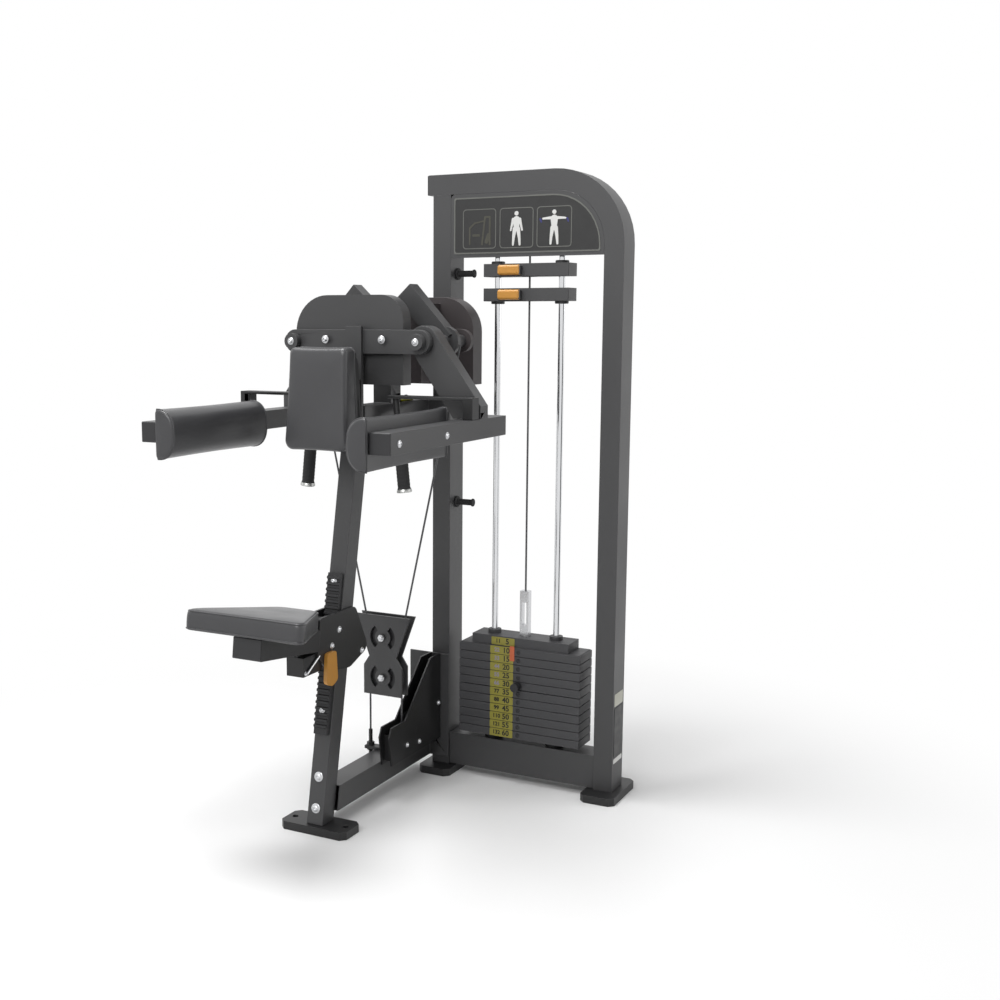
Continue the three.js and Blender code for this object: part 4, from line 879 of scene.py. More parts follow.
def arm_pad_profile(depth, height, steps=14):
    """The round-fronted section of an arm pad, as (height, depth) pairs round the section."""
    # The front is a superellipse, fuller than a half round, as the moulded foam is.
    fullness = 2.5
    back_at, margin = 0.9, 5
    half = height / 2
    front = []
    for i in range(steps * 2 + 1):
        angle = math.pi * i / (steps * 2)
        v = math.cos(angle)
        spread = abs(v) ** (2 / fullness) * (1 if v >= 0 else -1)
        deep = depth * abs(math.sin(angle)) ** (2 / fullness)
        front.append((spread * half, max(deep, back_at)))
    return front + [(v, 0.0) for v in (margin - half, -half / 2, 0.0, half / 2, half - margin)]


def arm_pad_shape(side, low, high, pull):
    """An arm pad swept along its tube, with both ends rounded, and the paths of its two seams."""
    # The cushion is a little shorter and lower than its solid
    length = (high.y - low.y) / MM - 22
    height = (high.z - low.z) / MM - 11
    depth = (high.x - low.x) / MM
    middle = low.z / MM + height / 2
    back = (high.x if side > 0 else low.x) / MM
    edge, edge_steps, hub_out = 7, 6, 1.5
    turns = [math.radians(90 * i / edge_steps) for i in range(edge_steps + 1)]
    stations = [edge * (1 - math.cos(turn)) for turn in turns]
    ends = [(d, edge - math.sqrt(max(0.0, edge ** 2 - (edge - d) ** 2))) for d in stations]
    inner = [(length * share, 0.0) for share in (0.06, 0.15, 0.3, 0.5, 0.7, 0.85, 0.94)]
    far = [(length - d, inset) for d, inset in reversed(ends)]
    profile = arm_pad_profile(depth, height)
    points = []
    for along, inset in [*ends, *inner, *far]:
        waist = pull * math.sin(math.pi * along / length)
        shrink_v = 1 - (inset + waist) / (height / 2)
        shrink_h = 1 - (inset + waist * 0.5) / depth
        for v, h in profile:
            points.append(
                Vector((back - side * h * shrink_h, low.y / MM + along, middle + v * shrink_v)) * MM
            )
    count = len(profile)
    rows = len(points) // count
    seams = [list(points[row * count:(row + 1) * count]) for row in (5, rows - 6)]
    faces = wall_faces(rows, count)
    for first, shift in ((0, -hub_out), ((rows - 1) * count, hub_out)):
        hub = sum(points[first:first + count], Vector()) / count + Vector((0, shift * MM, 0))
        faces.extend([(len(points), first + i, first + (i + 1) % count) for i in range(count)])
        points.append(hub)
    return outward((points, faces)), seams


class RAISE_OT_arm_pads(bpy.types.Operator):
    """Round-fronted pads on both arms"""

    bl_idname = "raise_machine.arm_pads"
    bl_label = "Make the Arm Pads"

    def execute(self, context):
        pull = context.scene.raise_cushions.pull / MM
        for name, side in ARMS:
            shape, seams = arm_pad_shape(side, *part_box(f"{name}_arm_pad"), pull)
            cover_cushion(f"{name}_arm_cushion", shape, f"{name}_arm", f"{name}_arm_pad", seams)
        return {"FINISHED"}


# Cables


def add_cable(name, route_mm, body, node):
    """One wire rope along its route, with its lay kept for the jacket's pattern."""
    radius_mm = bpy.context.scene.raise_cables.diameter / MM / 2
    points, faces, lay = tube([Vector(p) * MM for p in route_mm], radius_mm, 12)
    piece = new_piece(name, (points, faces), body, "cable")
    layer = piece.data.uv_layers.new(name="lay")
    for loop, uv in zip(layer.data, lay):
        loop.uv = uv
    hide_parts(node)
    return piece


def straight(start, end, spacing=12):
    """Points along a straight run, so that a squashed or patterned rope stays even."""
    start, end = Vector(start), Vector(end)
    steps = max(1, math.ceil((end - start).length / spacing))
    return [start.lerp(end, i / steps) for i in range(steps + 1)]


class RAISE_OT_cables(bpy.types.Operator):
    """Wire ropes from the arms to the yoke, and from the base to the stack"""

    bl_idname = "raise_machine.cables"
    bl_label = "Make the Cables"

    def execute(self, context):
        # Arm cable: from one arm's cam round the yoke's upper wheel to the other arm's cam
        upper_r, cam_r = 44, 38
        fall = PIVOT_Z - UPPER_WHEEL_Z
        reach = math.hypot(PIVOT_SPREAD, fall)
        lean = math.atan2(PIVOT_SPREAD, fall) - math.asin((upper_r - cam_r) / reach)
        out, top_z = PIVOT_SPREAD + math.cos(lean) * cam_r, PIVOT_Z - math.sin(lean) * cam_r
        bend = [
            (x, YOKE_Y, z)
            for x, z in arc_points((STATION_X, UPPER_WHEEL_Z), upper_r, -lean, -math.pi + lean)
        ]
        route = [
            *straight((STATION_X + out, YOKE_Y, top_z), bend[0]), *bend[1:-1],
            *straight(bend[-1], (STATION_X - out, YOKE_Y, top_z)),
        ]
        arm_cable = add_cable("arm_rope", route, "frame", "arm_cable")
        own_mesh(arm_cable)

        # Lift cable: from its anchor over the yoke's lower wheel into the base, which hides its ends
        lower_r, hidden_z = 46, 85
        anchor_x, cable_x = STATION_X - lower_r, STATION_X + lower_r
        bend = [
            (x, YOKE_Y, z) for x, z in arc_points((STATION_X, LOWER_WHEEL_Z), lower_r, math.pi, 0)
        ]
        route = [
            *straight((anchor_x, YOKE_Y, hidden_z), bend[0]), *bend[1:-1],
            *straight(bend[-1], (cable_x, YOKE_Y, hidden_z)),
        ]
        add_cable("lift_rope", route, "yoke", "lift_cable")

        # Tower cable: round both base wheels, up the left upright and over both top wheels
        base_z, top_z, wheel_r = 150, 1440, 48
        front_y, rear_y = YOKE_Y + wheel_r, STACK_Y - wheel_r
        left_x, right_x = cable_x + wheel_r, STACK_X - wheel_r
        base = [
            *arc_points((front_y, base_z), wheel_r, math.pi, math.pi * 1.5),
            *arc_points((rear_y, base_z), wheel_r, math.pi * 1.5, math.tau),
        ]
        over = [
            *arc_points((left_x, top_z), wheel_r, math.pi, math.pi / 2),
            *arc_points((right_x, top_z), wheel_r, math.pi / 2, 0),
        ]
        base = [(cable_x, y, z) for y, z in base]
        over = [(x, STACK_Y, z) for x, z in over]
        route = [*base[:-1], *straight(base[-1], over[0], 60), *over[1:]]
        add_cable("tower_rope", route, "frame", "tower_cable")

        # Stack cable: from the top wheel down to the stack's clevis
        low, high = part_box("stack_cable")
        route = straight((STACK_X, STACK_Y, high.z / MM), (STACK_X, STACK_Y, low.z / MM), 20)
        stack_cable = add_cable("stack_rope", route, "frame", "stack_cable")
        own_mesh(stack_cable)
        return {"FINISHED"}


# Placard and labels. Heights stand out from the face that a film is on.


FILM_HEIGHT = 0.5
RIM_WIDTH = 3.5
RIM_BACK, RIM_FRONT = 0.1, 0.9
INK_BACK, INK_FRONT = 0.3, 0.8
# Inks that overlap stand at heights of their own, so that no two faces share a place
INK_STEP = 0.02


def limb(start, end, start_half, end_half, steps=6):
    """A tapered limb with round ends, as an outline."""
    a, b = Vector(start), Vector(end)
    heading = math.atan2(b.y - a.y, b.x - a.x)
    near = arc_points(a, start_half, heading + math.pi / 2, heading + math.pi * 1.5, math.pi / steps)
    far = arc_points(b, end_half, heading - math.pi / 2, heading + math.pi / 2, math.pi / steps)
    return [*near, *far]


def figure_outlines(centre_x, foot_z, hands):
    """A plain standing figure built from tapered limbs; hands gives where both arms end."""
    hip_z, shoulder_z, head_z = foot_z + 41, foot_z + 64, foot_z + 78
    parts = [
        arc_points((centre_x, head_z), 5.4, 0, math.tau * 0.97, math.radians(20)),
        limb((centre_x, shoulder_z - 2), (centre_x, hip_z), 9.5, 6.5),
    ]
    for side in (-1, 1):
        hip = (centre_x + side * 4.5, hip_z)
        knee = (centre_x + side * 7.5, foot_z + 21)
        foot = (centre_x + side * 9, foot_z + 3)
        shoulder = (centre_x + side * 9, shoulder_z)
        hand = (centre_x + side * hands[0], shoulder_z + hands[1])
        parts.append(limb(hip, knee, 5.2, 3.8))
        parts.append(limb(knee, foot, 3.6, 2.6))
        parts.append(limb(shoulder, hand, 3.6, 2.2))
    return parts


class RAISE_OT_placard(bpy.types.Operator):
    """Placard film with a pale rim and three plain motifs"""

    bl_idname = "raise_machine.placard"
    bl_label = "Make the Placard"

    def execute(self, context):
        low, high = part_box("info_panel")
        place = on_front(low.y / MM)

        def panel_outline(inset):
            corner_radii = (5, 5, 132 - inset, 5)
            return box_outline(
                (low.x / MM, low.z / MM), (high.x / MM, high.z / MM), corner_radii, inset
            )

        def window_outline(window, inset, radius):
            return box_outline((window[0], 1369), (window[1], 1466), (radius,) * 4, inset)

        def inks(outlines, step=0.0, levels=1):
            return [
                sheet_shape(outline, INK_FRONT + step * (i % levels), INK_BACK, place)
                for i, outline in enumerate(outlines)
            ]

        margin = 9
        film = panel_outline(margin)
        rim = ring_shape(film, panel_outline(margin + RIM_WIDTH), RIM_FRONT, RIM_BACK, place)
        frames = [
            ring_shape(
                window_outline(window, 0, 9), window_outline(window, 2.0, 7), INK_FRONT, INK_BACK, place
            )
            for window in ((59, 150), (160, 250), (259, 350))
        ]
        figures = [
            *figure_outlines(205, 1374, (15.0, -26.0)), *figure_outlines(304.5, 1374, (29.0, -1.0)),
        ]
        machine = [
            limb((78, 1381), (78, 1420), 2.2, 2.2), limb((78, 1420), (92, 1432), 2.2, 2.2),
            limb((88, 1402), (104, 1402), 3.0, 3.0), limb((112, 1380), (120, 1446), 2.4, 2.4),
            limb((133, 1380), (133, 1446), 2.6, 2.6), limb((120, 1446), (133, 1446), 2.4, 2.4),
            limb((92, 1432), (116, 1436), 1.8, 1.8), limb((124, 1386), (130, 1402), 5.0, 5.0),
        ]
        marks = [limb((x, 1436), (x + 3, 1429), 2.4, 1.8) for x in (268, 338)]
        dark = printed_film("Polycarbonate film, dark", context.scene.raise_labels.placard, 0.5)
        pale = printed_film("Screen ink, pale grey", linear("#62635f"))
        white = printed_film("Screen ink, white", linear("#d4d4d2"))
        faint = printed_film("Screen ink, faint olive", linear("#3d3c33"))
        blue = printed_film("Screen ink, blue", linear("#2b2d6b"))
        for name, shapes, material in (
            ("placard_film", [sheet_shape(film, FILM_HEIGHT, 0.0, place)], dark),
            ("placard_rim", [rim], pale),
            ("placard_windows", frames, pale),
            ("placard_figures", inks(figures, INK_STEP, 8), white),
            ("placard_machine", inks(machine, INK_STEP, 8), faint),
            ("placard_arrows", inks(marks), blue),
        ):
            flat_piece(name, shapes, "frame", "frame_paint", material)
        return {"FINISHED"}


def number_shape(text, height_mm, x, y, z):
    """A printed number as a thin mesh, centred on a place on a forward face."""
    # The font's size is this many times the height of its digits, and its strokes are made bolder
    size_of_height = 1.38
    bolder_mm, thickness_mm = 0.5, 0.1
    curve = bpy.data.curves.new("number", "FONT")
    curve.body = text
    curve.size = height_mm * MM * size_of_height
    curve.align_x = "CENTER"
    curve.align_y = "CENTER"
    curve.extrude = thickness_mm * MM
    curve.resolution_u = 3
    curve.offset = bolder_mm * MM
    writer = bpy.data.objects.new("number", curve)
    mesh = bpy.data.meshes.new_from_object(writer)
    stand = Matrix.Translation(Vector((x, y, z)) * MM) @ Matrix.Rotation(math.pi / 2, 4, "X")
    points = [stand @ v.co for v in mesh.vertices]
    faces = [list(p.vertices) for p in mesh.polygons]
    bpy.data.meshes.remove(mesh)
    bpy.data.objects.remove(writer)
    bpy.data.curves.remove(curve)
    return points, faces


LABEL_LEFT, LABEL_RIGHT = 149, 214
LABEL_GAP_LOW, LABEL_GAP_HIGH = 0.6, 0.9
LABEL_THICKNESS, LABEL_CORNER = 0.45, 2.5
PRINT_HEIGHT = 0.6
POUNDS_X, POUNDS_SIZE = 168, 10.5
KILOGRAMS_X, KILOGRAMS_SIZE = 194, 14.5
POUNDS_IN_KILOGRAM = 2.2


class RAISE_OT_weight_labels(bpy.types.Operator):
    """Yellow number labels on the head and the plates, and the row of selector holes"""

    bl_idname = "raise_machine.weight_labels"
    bl_label = "Make the Weight Labels"

    def execute(self, context):
        look = context.scene.raise_labels
        yellow = printed_film("Polyester label film, yellow", look.film)
        black = printed_film("Thermal print, black", linear("#15130f"))
        lilac = printed_film("Thermal print, pale", linear("#8d8794"))
        tag = printed_film("Polyester label film, orange", linear("#c2603a"))
        stack_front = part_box("resting_plates")[0].y / MM
        head_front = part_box("head_plate")[0].y / MM
        count = PLATES_RESTING + PLATES_LIFTED
        groups = (
            ("resting", "frame", range(PLATES_RESTING), stack_front, black),
            ("lifted", "lifted_stack", range(PLATES_RESTING, count), stack_front, lilac),
            ("head", "lifted_stack", range(count, count + 1), head_front, black),
        )
        # A selector hole's mouth, as a short turned ring in the plate's face, closed by a thin black
        # disc: painted shade where the hole is dark inside
        mouth = [(5.6, 0.0), (5.6, 0.5), (4.6, 0.7), (4.2, 0.1), (0.4, 0.1)]
        for group, body, levels, face, pounds_ink in groups:
            films, kilograms, pounds, mouths = [], [], [], []
            print_y = face - PRINT_HEIGHT
            for level in levels:
                foot = PLATES_FROM + level * PLATE_PITCH
                middle = foot + PLATE_PITCH / 2
                weight = look.step * (count + 1 - level)
                in_pounds = round(weight * POUNDS_IN_KILOGRAM)
                outline = box_outline(
                    (LABEL_LEFT, foot + LABEL_GAP_LOW),
                    (LABEL_RIGHT, foot + PLATE_PITCH - LABEL_GAP_HIGH), (LABEL_CORNER,) * 4,
                )
                films.append(sheet_shape(outline, LABEL_THICKNESS, 0.0, on_front(face)))
                kilograms.append(
                    number_shape(str(weight), KILOGRAMS_SIZE, KILOGRAMS_X, print_y, middle)
                )
                pounds.append(
                    number_shape(str(in_pounds), POUNDS_SIZE, POUNDS_X, print_y, middle)
                )
                if group != "head":
                    mouths.append(turned(mouth, facing((STACK_X, face, middle - 1), FORWARD), 20))
            flat_piece(f"{group}_label", films, body, "cast_iron", yellow)
            for name, shapes, ink in (("kilograms", kilograms, black), ("pounds", pounds, pounds_ink)):
                shape = join_shapes(shapes)
                new_piece(f"{group}_{name}", shape, body, "cast_iron", ink, smooth=False)
            if mouths:
                # The holes' black is painted shade, given the wheels' black nylon finish.
                nylon = FINISH_OF_SLOT["pulley_nylon"]
                new_piece(f"{group}_hole_painted_shades", join_shapes(mouths), body, "cast_iron", nylon)
        # An orange flag over the label's edge, on the two uppermost plates
        flag_left, flag_right, flag_foot, flag_length = 204, 217, 8, 39
        foot = PLATES_FROM + (count - 2) * PLATE_PITCH + flag_foot
        outline = box_outline((flag_left, foot), (flag_right, foot + flag_length), (2.0,) * 4)
        flag = sheet_shape(outline, 0.9, 0.5, on_front(stack_front))
        flat_piece("label_flag", [flag], "lifted_stack", "cast_iron", tag)
        return {"FINISHED"}


class RAISE_OT_side_plates(bpy.types.Operator):
    """Bare plates on the outer side of the right upright"""

    bl_idname = "raise_machine.side_plates"
    bl_label = "Make the Side Plates"

    def execute(self, context):
        place = on_right(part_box("tower_arch")[1].x / MM)
        half_width, radius = 30, 3.0
        dark = printed_film("Anodised plate, black", linear("#1b1b1c"), 0.4)
        pale = printed_film("Polyester film, ivory", linear("#b9b9ab"))
        white = printed_film("Polyester film, white", linear("#dededb"))
        for name, foot, top, material, thickness in (
            ("side_plate_dark", 108, 236, dark, 1.0),
            ("side_plate_pale", 240, 272, pale, 0.5),
            ("side_plate_strip", 92, 104, white, 0.5),
        ):
            outline = box_outline((-half_width, foot), (half_width, top), (radius,) * 4)
            sheet = sheet_shape(outline, thickness, 0.0, place)
            flat_piece(name, [sheet], "frame", "frame_paint", material)
        return {"FINISHED"}


# Small fittings


BEAM_DEPTH = 50
BEAM_TOP = 993


def bolt(place, direction, radius):
    """A button head on a washer, with its socket sunk in the crown, standing at a place."""
    profile = [
        (1.45, -0.4), (1.45, 1.0), (1.36, 1.5), (1.02, 1.6), (1.0, 2.4), (0.92, 3.6), (0.7, 4.7),
        (0.48, 5.2), (0.46, 2.8), (0.1, 2.6),
    ]
    return turned([(radius * share, height) for share, height in profile], facing(place, direction))


def nut_shape(place, direction, radius, height):
    """A six-sided nut with its stud end standing out of it."""
    stand = facing(place, direction)
    nut = turned([(radius, -0.3), (radius, height * 0.9), (radius * 0.9, height)], stand, 6)
    stud, tip = radius * 0.52, radius * 0.4
    end = turned([(stud, height - 0.4), (stud, height + 3), (tip, height + 3.8)], stand)
    return join_shapes([nut, end])


def steel_piece(name, shapes, body):
    """A zinc-plated piece made of several shapes."""
    new_piece(name, join_shapes(shapes), body, "bare_steel")


class RAISE_OT_caps(bpy.types.Operator):
    """End caps of the top beam, the arm tubes and the seat's beam, and the stop on the head beam"""

    bl_idname = "raise_machine.caps"
    bl_label = "Make the Caps and the Stop"

    def execute(self, context):
        low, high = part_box("tower_arch")
        x, y0, y1, z1 = low.x / MM, low.y / MM, high.y / MM, high.z / MM
        margin = 0.6
        rounded_block(
            "beam_end_cap", (x - 4, y0 + margin, z1 - BEAM_DEPTH + margin),
            (x + 0.4, y1 - margin, z1 - margin), 1.6, "frame", "pulley_nylon",
        )
        for name, side in ARMS:
            ends = [STATION_X + side * across for across in (269.8, 318.2)]
            rounded_block(
                f"{name}_arm_end_cap", (min(ends), -763, 925.8), (max(ends), -759.6, 970.2), 1.4,
                f"{name}_arm", "pulley_nylon",
            )
        rounded_block(
            "seat_beam_cap", (-36.4, 9.5, -47.4), (36.4, 12.4, -1.2), 1.4, "seat", "pulley_nylon",
            stand=seat_stand(),
        )
        rounded_block(
            "travel_stop", (-73, -190, BEAM_TOP - 0.3), (-47, -100, BEAM_TOP + 9), 3, "frame",
            "orange_plastic", moulded_abs("Polyurethane, cast, yellow", linear("#c6c31e")),
        )
        for number, y in enumerate((-172, -118), 1):
            screw = bolt((STATION_X, y, BEAM_TOP + 8.6), UPWARD, 5)
            steel_piece(f"travel_stop_screw_{number}", [screw], "frame")
        return {"FINISHED"}


def on_post(z, height=0):
    """A place on the middle of the seat post's front face, or at a height over it."""
    y = POST_FRONT_AT_FLOOR + (z - FOOT_TOP) * math.tan(POST_LEAN) - height / math.cos(POST_LEAN)
    return STATION_X, y, z


class RAISE_OT_fasteners(bpy.types.Operator):
    """Bolts, washers and nuts, where the machine shows them"""

    bl_idname = "raise_machine.fasteners"
    bl_label = "Make the Fasteners"

    def execute(self, context):
        off_post = (0, -math.cos(POST_LEAN), math.sin(POST_LEAN))
        rail_thickness = 12
        bar_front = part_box("front_frame")[0].y / MM
        housing_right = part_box("pulley_housing")[1].x / MM
        housing_places = ((-33, 230), (-54, 190), (-226, 124), (-161, 115))
        bar_places = [(STATION_X + x, bar_front, PIVOT_Z + 5) for x in (-77, 77)]
        steel_piece("post_screws", [bolt(on_post(z), off_post, 8) for z in (58, 131)], "frame")
        rail_screws = [bolt(on_post(z, rail_thickness), off_post, 5.5) for z in (289, 588)]
        steel_piece("rail_screws", rail_screws, "frame")
        steel_piece("bearing_bar_screws", [bolt(place, FORWARD, 6.5) for place in bar_places], "frame")
        housing_screws = [bolt((housing_right, y, z), TO_RIGHT, 5) for y, z in housing_places]
        steel_piece("housing_screws", housing_screws, "frame")
        for name, side in ARMS:
            low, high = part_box(f"{name}_arm")
            face, off_arm = (high.x / MM, TO_RIGHT) if side > 0 else (low.x / MM, TO_LEFT)
            shapes = [bolt((face, y, 947), off_arm, 5.5) for y in (-725, -513)]
            steel_piece(f"{name}_arm_screws", shapes, f"{name}_arm")
            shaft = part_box(f"{name}_pivot_shaft")[0].y / MM
            screw = bolt((STATION_X + side * PIVOT_SPREAD, shaft, PIVOT_Z), FORWARD, 6)
            steel_piece(f"{name}_shaft_screw", [screw], f"{name}_arm")
        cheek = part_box("seat_carriage")[1].x / MM
        cheek_places = ((-494, 479), (-527, 447), (-392, 406))
        carriage_screws = [bolt((cheek, y, z), TO_RIGHT, 5.5) for y, z in cheek_places]
        steel_piece("carriage_screws", carriage_screws, "seat")
        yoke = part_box("pulley_yoke")[0].y / MM
        nuts = [
            nut_shape((STATION_X, yoke, z), FORWARD, 9.5, 5) for z in (UPPER_WHEEL_Z, LOWER_WHEEL_Z)
        ]
        steel_piece("yoke_nuts", nuts, "yoke")
        return {"FINISHED"}


class RAISE_OT_grips(bpy.types.Operator):
    """Foam grips with flared ends and pale caps"""

    bl_idname = "raise_machine.grips"
    bl_label = "Make the Grips"

    def execute(self, context):
        alloy = brushed_aluminium(linear("#b9bab8"))
        handle_y, grip_share = -371, 0.53
        ribs, ribs_from, smooth_length = 11, 9, 24
        cap_rings = [
            (13.4, -8.0), (16.4, -7.6), (17.6, -5.0), (18.2, -1.4), (17.2, 0.4), (9.0, 1.0),
            (8.2, -1.2), (0.6, -1.4),
        ]
        for name, side in ARMS:
            top = Vector((STATION_X + side * 112, handle_y, 1017.5))
            low = Vector((STATION_X + side * 135, handle_y, 795))
            along = (low - top).normalized()
            length = (low - top).length
            start = top + along * length * (1 - grip_share)
            grip = length * grip_share
            rings = [(13.0, 0.0), (16.4, 1.0), (16.8, 4.0), (15.0, 7.0)]
            step = (grip - smooth_length) / ribs
            for i in range(ribs):
                z = ribs_from + (grip - smooth_length) * i / ribs
                rings.extend([(14.5, z), (15.0, z + step * 0.3), (15.0, z + step * 0.6)])
            rings.extend([(14.5, grip - 14), (15.2, grip - 10), (16.6, grip - 7), (14.2, grip - 6)])
            sleeve = turned(rings, facing(start, along))
            new_piece(f"{name}_grip_sleeve", sleeve, f"{name}_arm", "grip_rubber")
            cap = turned(cap_rings, facing(low, along))
            new_piece(f"{name}_grip_cap", cap, f"{name}_arm", "bare_steel", alloy)
        return {"FINISHED"}


class RAISE_OT_add_on_sleeves(bpy.types.Operator):
    """Orange sleeves on the handles of both add-on weights, and the bushes on their rods"""

    bl_idname = "raise_machine.add_on_sleeves"
    bl_label = "Make the Add-on Sleeves"

    def execute(self, context):
        left, right, half_height, rod_spread = 158, 219, 12.4, 86
        ring = [(9.0, 0.0), (17.0, 0.0), (17.0, 5.0), (15.5, 6.5), (9.0, 6.5), (9.0, 0.2)]
        for name, way in (("upper", 1), ("lower", -1)):
            low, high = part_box(f"{name}_add_on_weight")
            front, z0, z1 = low.y / MM, low.z / MM, high.z / MM
            middle = (z0 + z1) / 2
            rounded_block(
                f"{name}_add_on_sleeve", (left, front - 2.2, middle - half_height),
                (right, front + 13.8, middle + half_height), 6, f"{name}_add_on", "orange_plastic",
                segments=5,
            )
            # The bushes stand on the face away from the other weight
            face = z1 if way > 0 else z0
            bushes = [
                turned(ring, facing((STACK_X + x, STACK_Y, face), (0, 0, way)), 28)
                for x in (-rod_spread, rod_spread)
            ]
            new_piece(f"{name}_add_on_bushes", join_shapes(bushes), f"{name}_add_on", "pulley_nylon")
        return {"FINISHED"}


class RAISE_OT_seat_linkage(bpy.types.Operator):
    """Latch rod and its pins under the seat"""

    bl_idname = "raise_machine.seat_linkage"
    bl_label = "Make the Seat Linkage"

    def execute(self, context):
        x, rod_radius, pin_radius = -34, 3.2, 4
        start, end = Vector((x, -630, 404)), Vector((x, -578, 434))
        points, faces, _ = tube([start * MM, (start + end) / 2 * MM, end * MM], rod_radius)
        pins = [bolt((x - 3.6, pin.y, pin.z), TO_RIGHT, pin_radius) for pin in (start, end)]
        steel_piece("latch_rod", [(points, faces), *pins], "seat")
        return {"FINISHED"}


# Stage


LAMP_TARGET = (0.1, -0.35, 0.8)
# Name, place, side length, and power as a share of the key lamp's
LAMPS = (
    ("key_lamp", (0.2, -4.0, 3.4), 2.0, 1.0),
    ("side_lamp", (3.6, 1.8, 2.4), 3.0, 0.36),
    ("top_lamp", (-0.7, -0.8, 4.1), 1.6, 1.5),
    ("left_lamp", (-4.0, -1.8, 2.6), 2.0, 0.2),
)
CAMERA_PLACE = (1.542, -3.024, 1.200)
CAMERA_PAN = math.radians(28.423)
CAMERA_DIP = math.radians(8.73)
CAMERA_SHIFT = (0.0838, 0.0177)
FLOOR_HALF = 20.0
WHITE = (1, 1, 1, 1)


def background_share(tree):
    """One for rays that see or mirror the room, and none for rays that light the machine."""
    seen = add_node(tree, "ShaderNodeLightPath")
    share = seen.outputs["Is Camera Ray"]
    for ray in ("Is Glossy Ray", "Is Transmission Ray"):
        larger = add_node(
            tree, "ShaderNodeMath", {"operation": "MAXIMUM"}, {0: share, 1: seen.outputs[ray]}
        )
        share = larger.outputs[0]
    return share


def pale_floor(colour):
    """Matt studio floor that fades to plain white away from the machine."""
    # Gives the eye a soft grey shadow under the machine and a white room round it.
    middle, fade_from, fade_to = (0.1, -0.25, 0.0), 0.75, 1.7
    glow = 0.02
    material, tree, shader, place = start_material("Studio floor, matt paint", colour, 0.9)
    output = next(n for n in tree.nodes if n.type == "OUTPUT_MATERIAL")
    seen = background_share(tree)
    reach = add_node(
        tree, "ShaderNodeVectorMath", {"operation": "DISTANCE", 1: middle}, {0: place}
    )
    fade = add_node(
        tree, "ShaderNodeMapRange",
        {"From Min": fade_from, "From Max": fade_to, "interpolation_type": "SMOOTHSTEP"},
        {"Value": reach.outputs["Value"]},
    )
    share = add_node(
        tree, "ShaderNodeMath", {"operation": "MULTIPLY"}, {0: fade.outputs["Result"], 1: seen}
    )
    white = add_node(tree, "ShaderNodeEmission", {"Color": WHITE, "Strength": 1.0})
    strength = add_node(tree, "ShaderNodeMath", {"operation": "MULTIPLY", 1: glow}, {0: seen})
    soft = add_node(
        tree, "ShaderNodeEmission", {"Color": WHITE}, {"Strength": strength.outputs[0]}
    )
    near = add_node(tree, "ShaderNodeAddShader", links={0: shader.outputs[0], 1: soft.outputs[0]})
    mix = add_node(
        tree, "ShaderNodeMixShader",
        links={0: share.outputs[0], 1: near.outputs[0], 2: white.outputs[0]},
    )
    tree.links.new(mix.outputs[0], output.inputs["Surface"])
    return material


def plain_world():
    """White room to look at and to mirror, which lights the machine mostly from above."""
    level_light, top_light, top_from = 0.06, 0.5, 0.95
    world = bpy.data.worlds.new("Plain room")
    bpy.context.scene.world = world
    world.use_nodes = True
    tree = world.node_tree
    tree.nodes.clear()
    seen = background_share(tree)
    way = add_node(tree, "ShaderNodeTexCoord")
    parts = add_node(tree, "ShaderNodeSeparateXYZ", links={"Vector": way.outputs["Generated"]})
    rise = add_node(
        tree, "ShaderNodeMapRange",
        {"From Max": top_from, "To Min": level_light, "To Max": top_light},
        {"Value": parts.outputs["Z"]},
    )
    light = add_node(
        tree, "ShaderNodeBackground", {"Color": WHITE}, {"Strength": rise.outputs["Result"]}
    )
    white = add_node(tree, "ShaderNodeBackground", {"Color": WHITE, "Strength": 1.0})
    mix = add_node(
        tree, "ShaderNodeMixShader", links={0: seen, 1: light.outputs[0], 2: white.outputs[0]}
    )
    add_node(tree, "ShaderNodeOutputWorld", links={"Surface": mix.outputs[0]})


def stand_and_aim(name, data, place, aim):
    """An object for a lamp or a camera at a place, looking along a direction."""
    holder = bpy.data.objects.new(name, data)
    holder.location = place
    holder.rotation_euler = Vector(aim).to_track_quat("-Z", "Y").to_euler()
    bpy.context.scene.collection.objects.link(holder)
    return holder


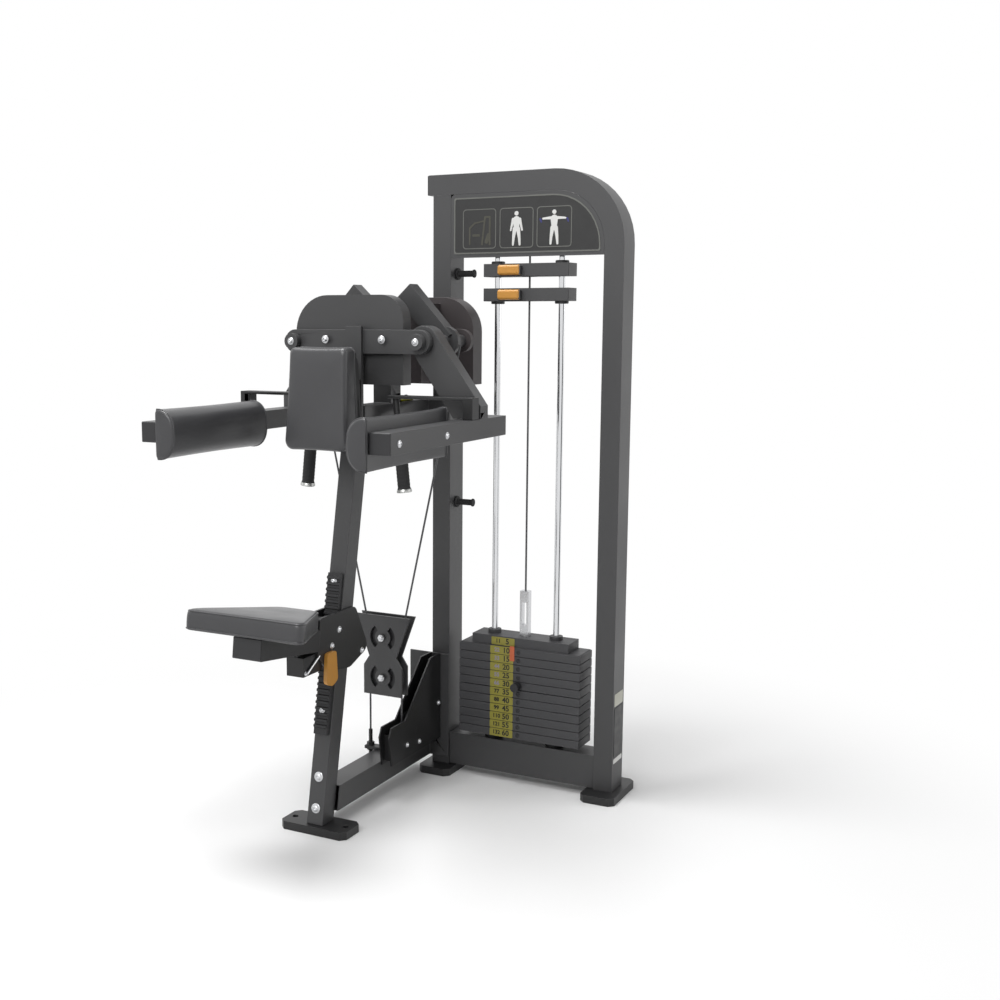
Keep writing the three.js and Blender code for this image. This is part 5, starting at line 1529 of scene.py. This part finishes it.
class RAISE_OT_stage(bpy.types.Operator):
    """Pale floor, soft lamps and the camera at the photograph's angle"""

    bl_idname = "raise_machine.stage"
    bl_label = "Set the Stage"

    def execute(self, context):
        scene = context.scene
        look = scene.raise_stage
        mesh = bpy.data.meshes.new("studio_floor")
        corners = [(-1, -1), (1, -1), (1, 1), (-1, 1)]
        mesh.from_pydata([(FLOOR_HALF * x, FLOOR_HALF * y, 0) for x, y in corners], [], [(0, 1, 2, 3)])
        mesh.materials.append(pale_floor(look.floor))
        floor = bpy.data.objects.new("studio_floor", mesh)
        scene.collection.objects.link(floor)
        plain_world()
        for name, place, size, share in LAMPS:
            lamp = bpy.data.lights.new(name, "AREA")
            lamp.shape = "SQUARE"
            lamp.size = size
            lamp.energy = look.key_power * share
            stand_and_aim(name, lamp, place, Vector(LAMP_TARGET) - Vector(place))
        camera = bpy.data.cameras.new("photo_camera")
        camera.sensor_width = 36.0
        camera.lens = look.lens
        camera.shift_x, camera.shift_y = CAMERA_SHIFT
        camera.clip_end = 60
        level = math.cos(CAMERA_DIP)
        aim = (-math.sin(CAMERA_PAN) * level, math.cos(CAMERA_PAN) * level, -math.sin(CAMERA_DIP))
        scene.camera = stand_and_aim("photo_camera", camera, CAMERA_PLACE, aim)
        scene.view_settings.view_transform = "Standard"
        return {"FINISHED"}


# Panel and registration


PIECE_OPERATORS = (
    RAISE_OT_finishes,
    RAISE_OT_chest_pad,
    RAISE_OT_arm_pads,
    RAISE_OT_seat_pad,
    RAISE_OT_cables,
    RAISE_OT_placard,
    RAISE_OT_weight_labels,
    RAISE_OT_side_plates,
    RAISE_OT_caps,
    RAISE_OT_fasteners,
    RAISE_OT_grips,
    RAISE_OT_add_on_sleeves,
    RAISE_OT_seat_linkage,
    RAISE_OT_stage,
)
SETTINGS = (
    ("raise_finish", FinishSettings),
    ("raise_cushions", CushionSettings),
    ("raise_cables", CableSettings),
    ("raise_labels", LabelSettings),
    ("raise_stage", StageSettings),
)


class RAISE_PT_panel(bpy.types.Panel):
    """Settings and steps of the machine"""

    bl_idname = "RAISE_PT_panel"
    bl_label = "Lateral Raise Machine"
    bl_space_type = "VIEW_3D"
    bl_region_type = "UI"
    bl_category = "Raise Machine"

    def draw(self, context):
        layout = self.layout
        for name, group in SETTINGS:
            box = layout.box()
            settings = getattr(context.scene, name)
            for key in group.__annotations__:
                box.prop(settings, key)
        for operator in PIECE_OPERATORS:
            layout.operator(operator.bl_idname)


def register():
    """Register the settings, the operators and the panel."""
    for name, group in SETTINGS:
        bpy.utils.register_class(group)
        setattr(bpy.types.Scene, name, bpy.props.PointerProperty(type=group))
    for operator in PIECE_OPERATORS:
        bpy.utils.register_class(operator)
    bpy.utils.register_class(RAISE_PT_panel)


def unregister():
    """Take away the panel, the operators and the settings."""
    bpy.utils.unregister_class(RAISE_PT_panel)
    for operator in reversed(PIECE_OPERATORS):
        bpy.utils.unregister_class(operator)
    for name, group in reversed(SETTINGS):
        delattr(bpy.types.Scene, name)
        bpy.utils.unregister_class(group)


def main():
    """Make every piece in order."""
    register()
    for operator in PIECE_OPERATORS:
        group, call = operator.bl_idname.split(".")
        result = getattr(getattr(bpy.ops, group), call)()
        if result != {"FINISHED"}:
            raise RuntimeError(f"{operator.bl_label} did not finish")


if __name__ == "__main__":
    main()
